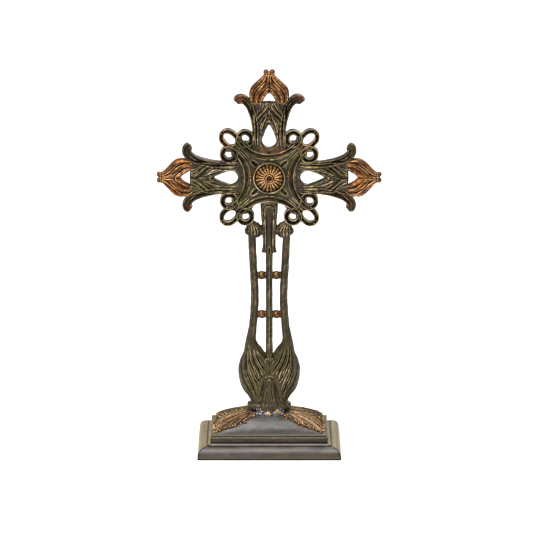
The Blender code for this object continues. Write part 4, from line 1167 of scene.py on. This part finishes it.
LEAF_SECTION = np.array([
    (-1, -0.6), (-0.94, 0.05), (-0.78, 0.48), (-0.5, 0.82), (-0.18, 0.98), (0, 1), (0.18, 0.98), (0.5, 0.82),
    (0.78, 0.48), (0.94, 0.05), (1, -0.6), (0.5, -1.6), (-0.5, -1.6),
])
# Furthest shares of the plan, width and lift that a finger may reach
FINGER_LIMITS = [0.985, 0.95, 9, 9]


def finger(clay, knots, side, front, count=18):
    """Leaf finger over the dome, from knots of (a, b, half width in mm, lift in mm)."""
    path = smooth(knots, count)
    a, b = side * path[:, 0], front * path[:, 1]
    middle = dome_point(a, b)
    run = np.gradient(middle, axis=0)
    run /= np.linalg.norm(run, axis=1, keepdims=True) + 1e-9
    above = dome_point(a, b, 1.0) - middle
    across = np.cross(run, above)
    across /= np.linalg.norm(across, axis=1, keepdims=True) + 1e-9
    share = np.linspace(0, 1, len(path))
    taper = np.sqrt(np.clip(1 - np.clip((share - 0.80) / 0.21, 0, 1) ** 2, 0, 1))
    width = path[:, 2] * (0.25 + 0.75 * taper)
    wide, high = LEAF_SECTION[None, :, 0], LEAF_SECTION[None, :, 1]
    out = high * path[:, 3, None]
    sag = -0.35 * np.abs(wide) * path[:, 3, None]
    rings = middle[:, None] + across[:, None] * (wide * width[:, None])[..., None]
    clay.add(rings + above[:, None] * (out + sag * (high > 0))[..., None])


# Tips of the strands from the front to the end, as shares of the dome's plan
FRINGE = (
    (0.2, 0.36), (0.25, 0.43), (0.31, 0.51), (0.37, 0.57), (0.44, 0.63), (0.52, 0.68), (0.62, 0.73),
    (0.73, 0.79), (0.86, 0.88), (0.93, 0.72), (0.955, 0.54), (0.97, 0.36), (0.975, 0.18), (0.98, 0),
)


def leaf_strand(index, front):
    """Root and tip of a strand of the draped leaf, counted along its fringe; shorter behind."""
    tip = np.array([np.interp(index, range(len(FRINGE)), column) for column in zip(*FRINGE)])
    if front > 0:
        tip[1] *= 0.86
    share = index / (len(FRINGE) - 1)
    root = np.array([0.18 + 0.07 * math.sin(0.5 * math.pi * share), 0.27 * math.cos(0.5 * math.pi * share)])
    return root, tip


def leaf_fold(clay, share, side, front, width, lift):
    """Long strand of the draped leaf, a little bowed."""
    root, tip = leaf_strand(np.clip(share, 0, 1) * (len(FRINGE) - 1), front)
    run = tip - root
    across = np.array([-run[1], run[0]]) / np.linalg.norm(run)
    bow = across * rng.uniform(-0.02, 0.03)
    width = width * (0.55 + 0.75 * np.linalg.norm(run))
    knots = [
        (*root, 0.5 * width, lift), (*(root + 0.35 * run + bow), 0.8 * width, lift),
        (*(root + 0.66 * run + bow), width, lift - 0.1), (*(root + 0.86 * run), 0.9 * width, lift - 0.6),
    ]
    finger(clay, np.clip(knots, 0, FINGER_LIMITS), side, front)


def leaf_lobe(clay, share, side, front):
    """Small lobe of the fringe that curls up and over."""
    root, tip = leaf_strand(share * (len(FRINGE) - 1), front)
    run = tip - root
    length = np.linalg.norm(run)
    run = run / length
    lean = rng.uniform(-1.2, 1.2)
    turned = run * math.cos(lean) + np.array([-run[1], run[0]]) * math.sin(lean)
    start = root + run * length * rng.uniform(0.82, 0.98)
    end = start + turned * rng.uniform(0.05, 0.10)
    high = rng.uniform(3.4, 4.9) - (0.8 if front > 0 else 0.0)
    width = rng.uniform(1.2, 2.0)
    middle = 0.5 * start + 0.5 * end
    knots = [(*start, 0.6 * width, high - 0.8), (*middle, width, high), (*end, 0.8 * width, high - 1.8)]
    finger(clay, np.clip(knots, 0, FINGER_LIMITS), side, front, 8)


def leaves_clay():
    """Two draped leaves: a thin sheet, long strands over it and a fringe of small curled lobes."""
    clay = Clay()
    for side in (1, -1):
        for front in (-1, 1):
            rows = []
            for share in np.linspace(0, 0.93, 10):
                strands = [leaf_strand(index, front) for index in range(len(FRINGE))]
                places = np.array([root + (tip - root) * share for root, tip in strands]) * (side, front)
                top, under = dome_point(*places.T, 0.5), dome_point(*places.T, -2.0)
                rows.append(np.vstack([top, under[::-1]]))
            clay.add(rows)
            for share in np.linspace(0, 1, 10):
                leaf_fold(clay, share, side, front, 2.4, rng.uniform(2.6, 3.4))
            for share in np.linspace(0.04, 0.96, 9):
                leaf_fold(clay, share + rng.uniform(-0.03, 0.03), side, front, 0.75, rng.uniform(3.2, 4.0))
            for share in np.linspace(0, 1, 34):
                leaf_lobe(clay, share, side, front)
        # bumps along the crest of the leaf, and its rib
        for share in np.linspace(0.30, 0.92, 9):
            high = rng.uniform(3.6, 5.0)
            off = 0.05 * rng.uniform(-1, 1)
            bump = [(share, 0, 1.2, 2.4), (share + 0.035, off, 2.6, high), (share + 0.06, 0, 1, 1.6)]
            finger(clay, np.clip(bump, [0, -0.2, 0, 0], FINGER_LIMITS), side, 1, 8)
        rib = [(0.3, 0, 1.8, 3.2), (0.55, 0, 2.2, 3), (0.8, 0, 2.2, 2.8), (0.985, 0, 1.8, 2)]
        finger(clay, rib, side, 1, 24)
    return clay


# The lace: half width where its curve would end, distance over the roll's ring, and the height under which
# it hangs forward
LACE_HALF_X = 28.0
LACE_OUT = 5.2
LACE_BEND = 52.5
LACE_SLOPE = 0.75
LACE_TOP = 57.2
LACE_HEM = 49.8


def roll_front(x, z, out=0.0):
    """Point in front of the roll and of the seat under it."""
    deep = ROLL_Y * math.sqrt(max(0.0, 1 - (x / LACE_HALF_X) ** 2)) + LACE_OUT + out
    return np.array([x, -deep - LACE_SLOPE * max(0.0, LACE_BEND - z), z])


def lace_clay():
    """Beaded lace that hangs over the roll in front, and the same behind."""
    clay = Clay()
    left, step = -17.0, 2.5
    for front in (1, -1):
        for row in range(4):
            z = LACE_TOP - step * row
            for k in range(15):
                x = left + step * k + 1.2 * (row % 2) + rng.uniform(-0.5, 0.5)
                spot = roll_front(x, z + rng.uniform(-0.5, 0.5), rng.uniform(-0.4, 0.3)) * (1, front, 1)
                size = rng.uniform(1.0, 1.6)
                clay.ball(spot, (size, 1.1 * size, size), 6, 8)
        # larger drops along its lower edge
        for k in range(8):
            spot = roll_front(left + 0.5 + 2 * step * k, LACE_HEM + rng.uniform(-0.8, 0.8), -0.4)
            clay.ball(spot * (1, front, 1), (2.3, 1.8, 2.0), 8, 10)
    return clay


def tips_clay():
    """Short gilded leaf tips under the roll."""
    clay = Clay()
    tips = ((-1.6, 52.2, 4.0), (11.4, 54.0, 5.2))
    for front in (1, -1):
        for x, z, size in tips:
            for lean in (-0.8, 0.0, 0.8):
                spot = roll_front(x + lean * 0.75 * size, z - 0.3 * abs(lean) * size, 1.0) * (1, front, 1)
                clay.ball(spot, (0.52 * size, 0.40 * size, 0.62 * size), 8, 12)
    return clay


# Rounded foot of the plinth: its width, and where its quarter round starts and how high it rises
ROUND_WIDTH = 11.0
ROUND_START = 3.4
ROUND_RISE = 12.4


def plinth_profile():
    """(inset, height) from the floor to the step, with small rounds at its edges."""
    profile = [(0, 0), (0, 1.2), (0, 2.6)]
    for angle in np.radians(np.linspace(0, 90, 18)):
        profile.append((ROUND_WIDTH * (1 - math.cos(angle)), ROUND_START + ROUND_RISE * math.sin(angle)))
    # groove, sloping ledge, riser, bead and cove
    profile += [(11.5, 15.5), (12.1, 15), (12.7, 15.1), (13.1, 15.8)]
    profile += [(13.8, 16.4), (14.8, 16.7), (15.8, 17), (16.7, 17.3), (17.4, 17.6), (18.2, 17.8)]
    profile += [(18.7, 18.2), (18.3, 18.8), (18.1, 20.4), (18.1, 22.4), (18.1, 24.4), (18.1, 25.4)]
    profile += [(17.8, 25.7), (17.6, 26.1), (17.8, 26.5), (18.4, 26.8), (19, 26.6), (19.6, 26.4)]
    profile += [(20.1, 26.8), (20.5, 27.5), (21.2, 28.2), (22.2, 28.7), (23.6, 28.9), (26, 29)]
    return profile


def plinth_mesh():
    """Mitred mouldings as loops round the plan, closed by the floor below and the dome above."""
    long_steps, short_steps, corner = 110, 72, 0.9
    quarters = ((1, -1), (1, 1), (-1, 1), (-1, -1))
    loops = []
    for inset, z in plinth_profile():
        reach = np.array([PLINTH_HALF_X - inset - corner, PLINTH_HALF_Y - inset - corner])
        loop = []
        for quarter, signs in enumerate(quarters):
            for step in range(4):
                angle = math.radians(90 * quarter - 90) + math.radians(30 * step)
                turned = corner * np.array([math.cos(angle), math.sin(angle)])
                loop.append(reach * signs + turned)
            begin, target = loop[-1], reach * quarters[(quarter + 1) % 4] + turned
            steps = short_steps if quarter % 2 == 0 else long_steps
            loop += [begin + (target - begin) * s / steps for s in range(1, steps)]
        loops.append(np.column_stack([loop, np.full(len(loop), z)]))
    clay = Clay()
    clay.add(loops)
    return in_scene("plinth_mouldings", mesh_of("plinth_mouldings", clay))


def dome_clay():
    """Dome over the step, and the oval pad on its top that the foot stands on."""
    clay = Clay()
    top = dome_point(np.linspace(-0.999, 0.999, 90)[:, None], np.linspace(-0.999, 0.999, 60)[None, :])
    base = top.copy()
    base[..., 2] = STEP_Z - 4
    clay.add(np.concatenate([top, base[:, ::-1]], 1))
    turn = np.linspace(0, 2 * np.pi, 60, endpoint=False)
    pad = []
    for drop, grow in ((9, 6.0), (3.0, 3.6), (1.0, 2.0), (0, 0.2)):
        half_x, half_y = SEAT_HALF_X + grow, SEAT_HALF_Y + grow
        pad.append(ellipse(turn, half_x, half_y, SEAT_Z - drop))
    clay.add(pad)
    return clay


# bright is rubbed paint on the ridges and also a painted highlight; dark fills the grooves and the painted
# shade of steep sides
COPPER_PAINTS = {
    "copper_patina": {
        "deep": (72, 40, 12), "light": (100, 60, 18), "tint": (78, 64, 28), "bright": (218, 168, 106),
        "dark": (18, 10, 5), "glow": (154, 84, 22),
    },
    "gilt_leaf_patina": {
        "deep": (42, 30, 15), "light": (56, 41, 21), "tint": (60, 54, 24), "bright": (216, 168, 116),
        "dark": (9, 7, 5), "glow": (98, 66, 30),
    },
    "gold_tip_patina": {
        "deep": (172, 148, 104), "light": (196, 172, 122), "tint": (150, 128, 92), "bright": (252, 240, 208),
        "dark": (34, 26, 18), "glow": (214, 184, 128),
    },
    "lace_patina": {
        "deep": (66, 60, 66), "light": (84, 74, 72), "tint": (104, 98, 108), "bright": (226, 214, 212),
        "dark": (14, 12, 12), "glow": (112, 102, 108),
    },
}
ARMS = {"top": (0, TOP_REACH), "right": (90, SIDE_REACH), "left": (270, SIDE_REACH)}


def cast(name, clay, voxel, relax=2, lines=None, waves=None):
    """Fused skin, carved along its lines and made a little uneven by waves of (size, amount, seed)."""
    piece = fuse(name, clay, voxel, relax)
    if lines:
        carve(piece, lines)
    if waves:
        stipple(piece, *waves)
    return piece


# Beads between the rods: distance from the middle, end of the tassel and shares of the height up to it
BEAD_OUT = 10.15
TASSEL_LENGTH = 105.0
BEAD_SHARES = (0.73, 0.275)


def beads_clay(clay):
    """Two pairs of beads between the rods, each with a small boss and two collars."""
    for side in (1, -1):
        for share in BEAD_SHARES:
            bead = np.array([side * BEAD_OUT, 0, CALYX_TOP + share * (HEAD_Z - TASSEL_LENGTH - CALYX_TOP)])
            clay.ball(bead, (6.0, 6.3, 6.3), 16, 24)
            clay.ball(bead + (0, -5.2, 0), (2.6, 2.0, 2.6), 10, 16)
            for step in (-1, 1):
                clay.ball(bead + (step * 5.0, 0, 0), (1.4, 5.4, 5.4), 12, 20)


def build():
    bronze, stone = bronze_paint(), plinth_paint()
    copper, gilt, gold, lace = [copper_paint(name, **colours) for name, colours in COPPER_PAINTS.items()]
    ornaments, ornament_lines = Clay(), Carving()
    for name, (degrees, reach) in ARMS.items():
        place = head_frame(degrees, reach)
        arm = cast(f"arm_{name}", arm_clay(place), 0.62, lines=arm_carving(place), waves=(9.0, 0.10, degrees))
        dress(arm, bronze, CROSS, 7.0, 0.75)
        bud_clay(ornaments, place)
        bud_carving(ornament_lines, place)
    flower_clay(ornaments)
    flower_carving(ornament_lines)
    beads_clay(ornaments)
    piece = cast("copper_ornaments", ornaments, 0.56, 1, ornament_lines, (7.0, 0.06, 5))
    dress(piece, copper, CROSS, 7.0, 0.6)
    piece = cast("head_scrolls", centre_clay(), 0.66, lines=centre_carving(), waves=(9.0, 0.10, 3))
    dress(piece, bronze, CROSS, 7.5, 0.66)
    piece = cast("stem_rods", stem_clay(), 0.66, lines=stem_carving(), waves=(12.0, 0.12, 4))
    dress(piece, bronze, CROSS, 5.0, 0.66)
    foot = cast("leaf_foot", foot_clay(), 0.62, lines=foot_carving())
    dotted(foot, PUNCHED_VEINS, 2.6, 1.0, 0.8)
    stipple(foot, 10.0, 0.10, 6)
    dress(foot, bronze, CROSS, 4.4, 0.66)
    dress(cast("dome_leaves", leaves_clay(), 0.62, 1), gilt, PLINTH, 4.2, 0.62)
    dress(cast("seat_lace", lace_clay(), 0.55, 1), lace, PLINTH, 5.0, 0.6)
    dress(cast("seat_tips", tips_clay(), 0.5, 1), gold, PLINTH, 4.0, 0.8)
    dress(cast("dome_field", dome_clay(), 0.95, waves=(16.0, 0.16, 8)), stone, PLINTH, 2.0, 0.8)
    dress(plinth_mesh(), stone, PLINTH, 1.1, 1.0)


# Stage


def aim(thing, place, target):
    """Puts a lamp or camera at a place, looking at a target with its top upwards."""
    thing.location = place
    thing.rotation_euler = (Vector(target) - Vector(place)).to_track_quat("-Z", "Y").to_euler()


FLOOR_HALF = 8
FLOOR_TONES = ([0.90, 0.90, 0.90, 1], [0.94, 0.94, 0.94, 1])
SKY_STRENGTH = 0.36
SUN_POWER = 2.9
SUN_SPREAD = 40
# Name, place in metres, size in metres and power in watts of each lamp
LAMPS = (
    ("key", (-1.0, -1.25, 2.2), 0.6, 60),
    ("fill", (1.6, -1.5, 1.0), 1.2, 6),
    ("back", (0.7, 1.7, 1.5), 1.2, 18),
)


def stage():
    """Pale floor, white surroundings, a soft overhead sun and three lamps."""
    corners = [(x * FLOOR_HALF, y * FLOOR_HALF, 0) for x, y in ((-1, -1), (1, -1), (1, 1), (-1, 1))]
    mesh = bpy.data.meshes.new("floor")
    mesh.from_pydata(corners, [], [(0, 1, 2, 3)])
    floor = in_scene("floor", mesh)
    paper = Nodes("pale_floor")
    shade = paper.mix(paper.noise(40, 2), *FLOOR_TONES)
    paper.put(paper.shader.inputs["Base Color"], shade)
    paper.shader.inputs["Roughness"].default_value = 0.9
    floor.data.materials.append(paper.material)
    world = bpy.data.worlds.new("studio")
    world.use_nodes = True
    sky = world.node_tree.nodes["Background"]
    sky.inputs["Color"].default_value = (1, 1, 1, 1)
    sky.inputs["Strength"].default_value = SKY_STRENGTH
    bpy.context.scene.world = world
    sun = bpy.data.lights.new("overhead", "SUN")
    sun.energy = SUN_POWER
    sun.angle = math.radians(SUN_SPREAD)
    aim(in_scene("overhead", sun), (-0.2, -0.35, 2.0), (0, 0, 0))
    for name, place, size, power in LAMPS:
        lamp = bpy.data.lights.new(name, "AREA")
        lamp.size = size
        lamp.energy = power
        aim(in_scene(name, lamp), place, (0, 0, 0.3))


def camera():
    """View fitted to the photo, with its focal length and image centre in the photo's pixels."""
    lift = math.radians(16.5)
    distance = 3.5
    focal, width = 2566.0, 540.0
    centre_x, centre_y = 269.2, 260.7
    target = (0.0, 0.0, 0.2667)
    lens = bpy.data.cameras.new("photo_view")
    lens.sensor_width = 36.0
    lens.lens = focal / width * lens.sensor_width
    lens.shift_x = (0.5 * width - centre_x) / width
    lens.shift_y = (centre_y - 0.5 * width) / width
    view = in_scene("photo_view", lens)
    aim(view, (0.0, -distance * math.cos(lift), target[2] + distance * math.sin(lift)), target)
    bpy.context.scene.camera = view


camera()
stage()
build()
bpy.context.scene.view_settings.view_transform = "Standard"
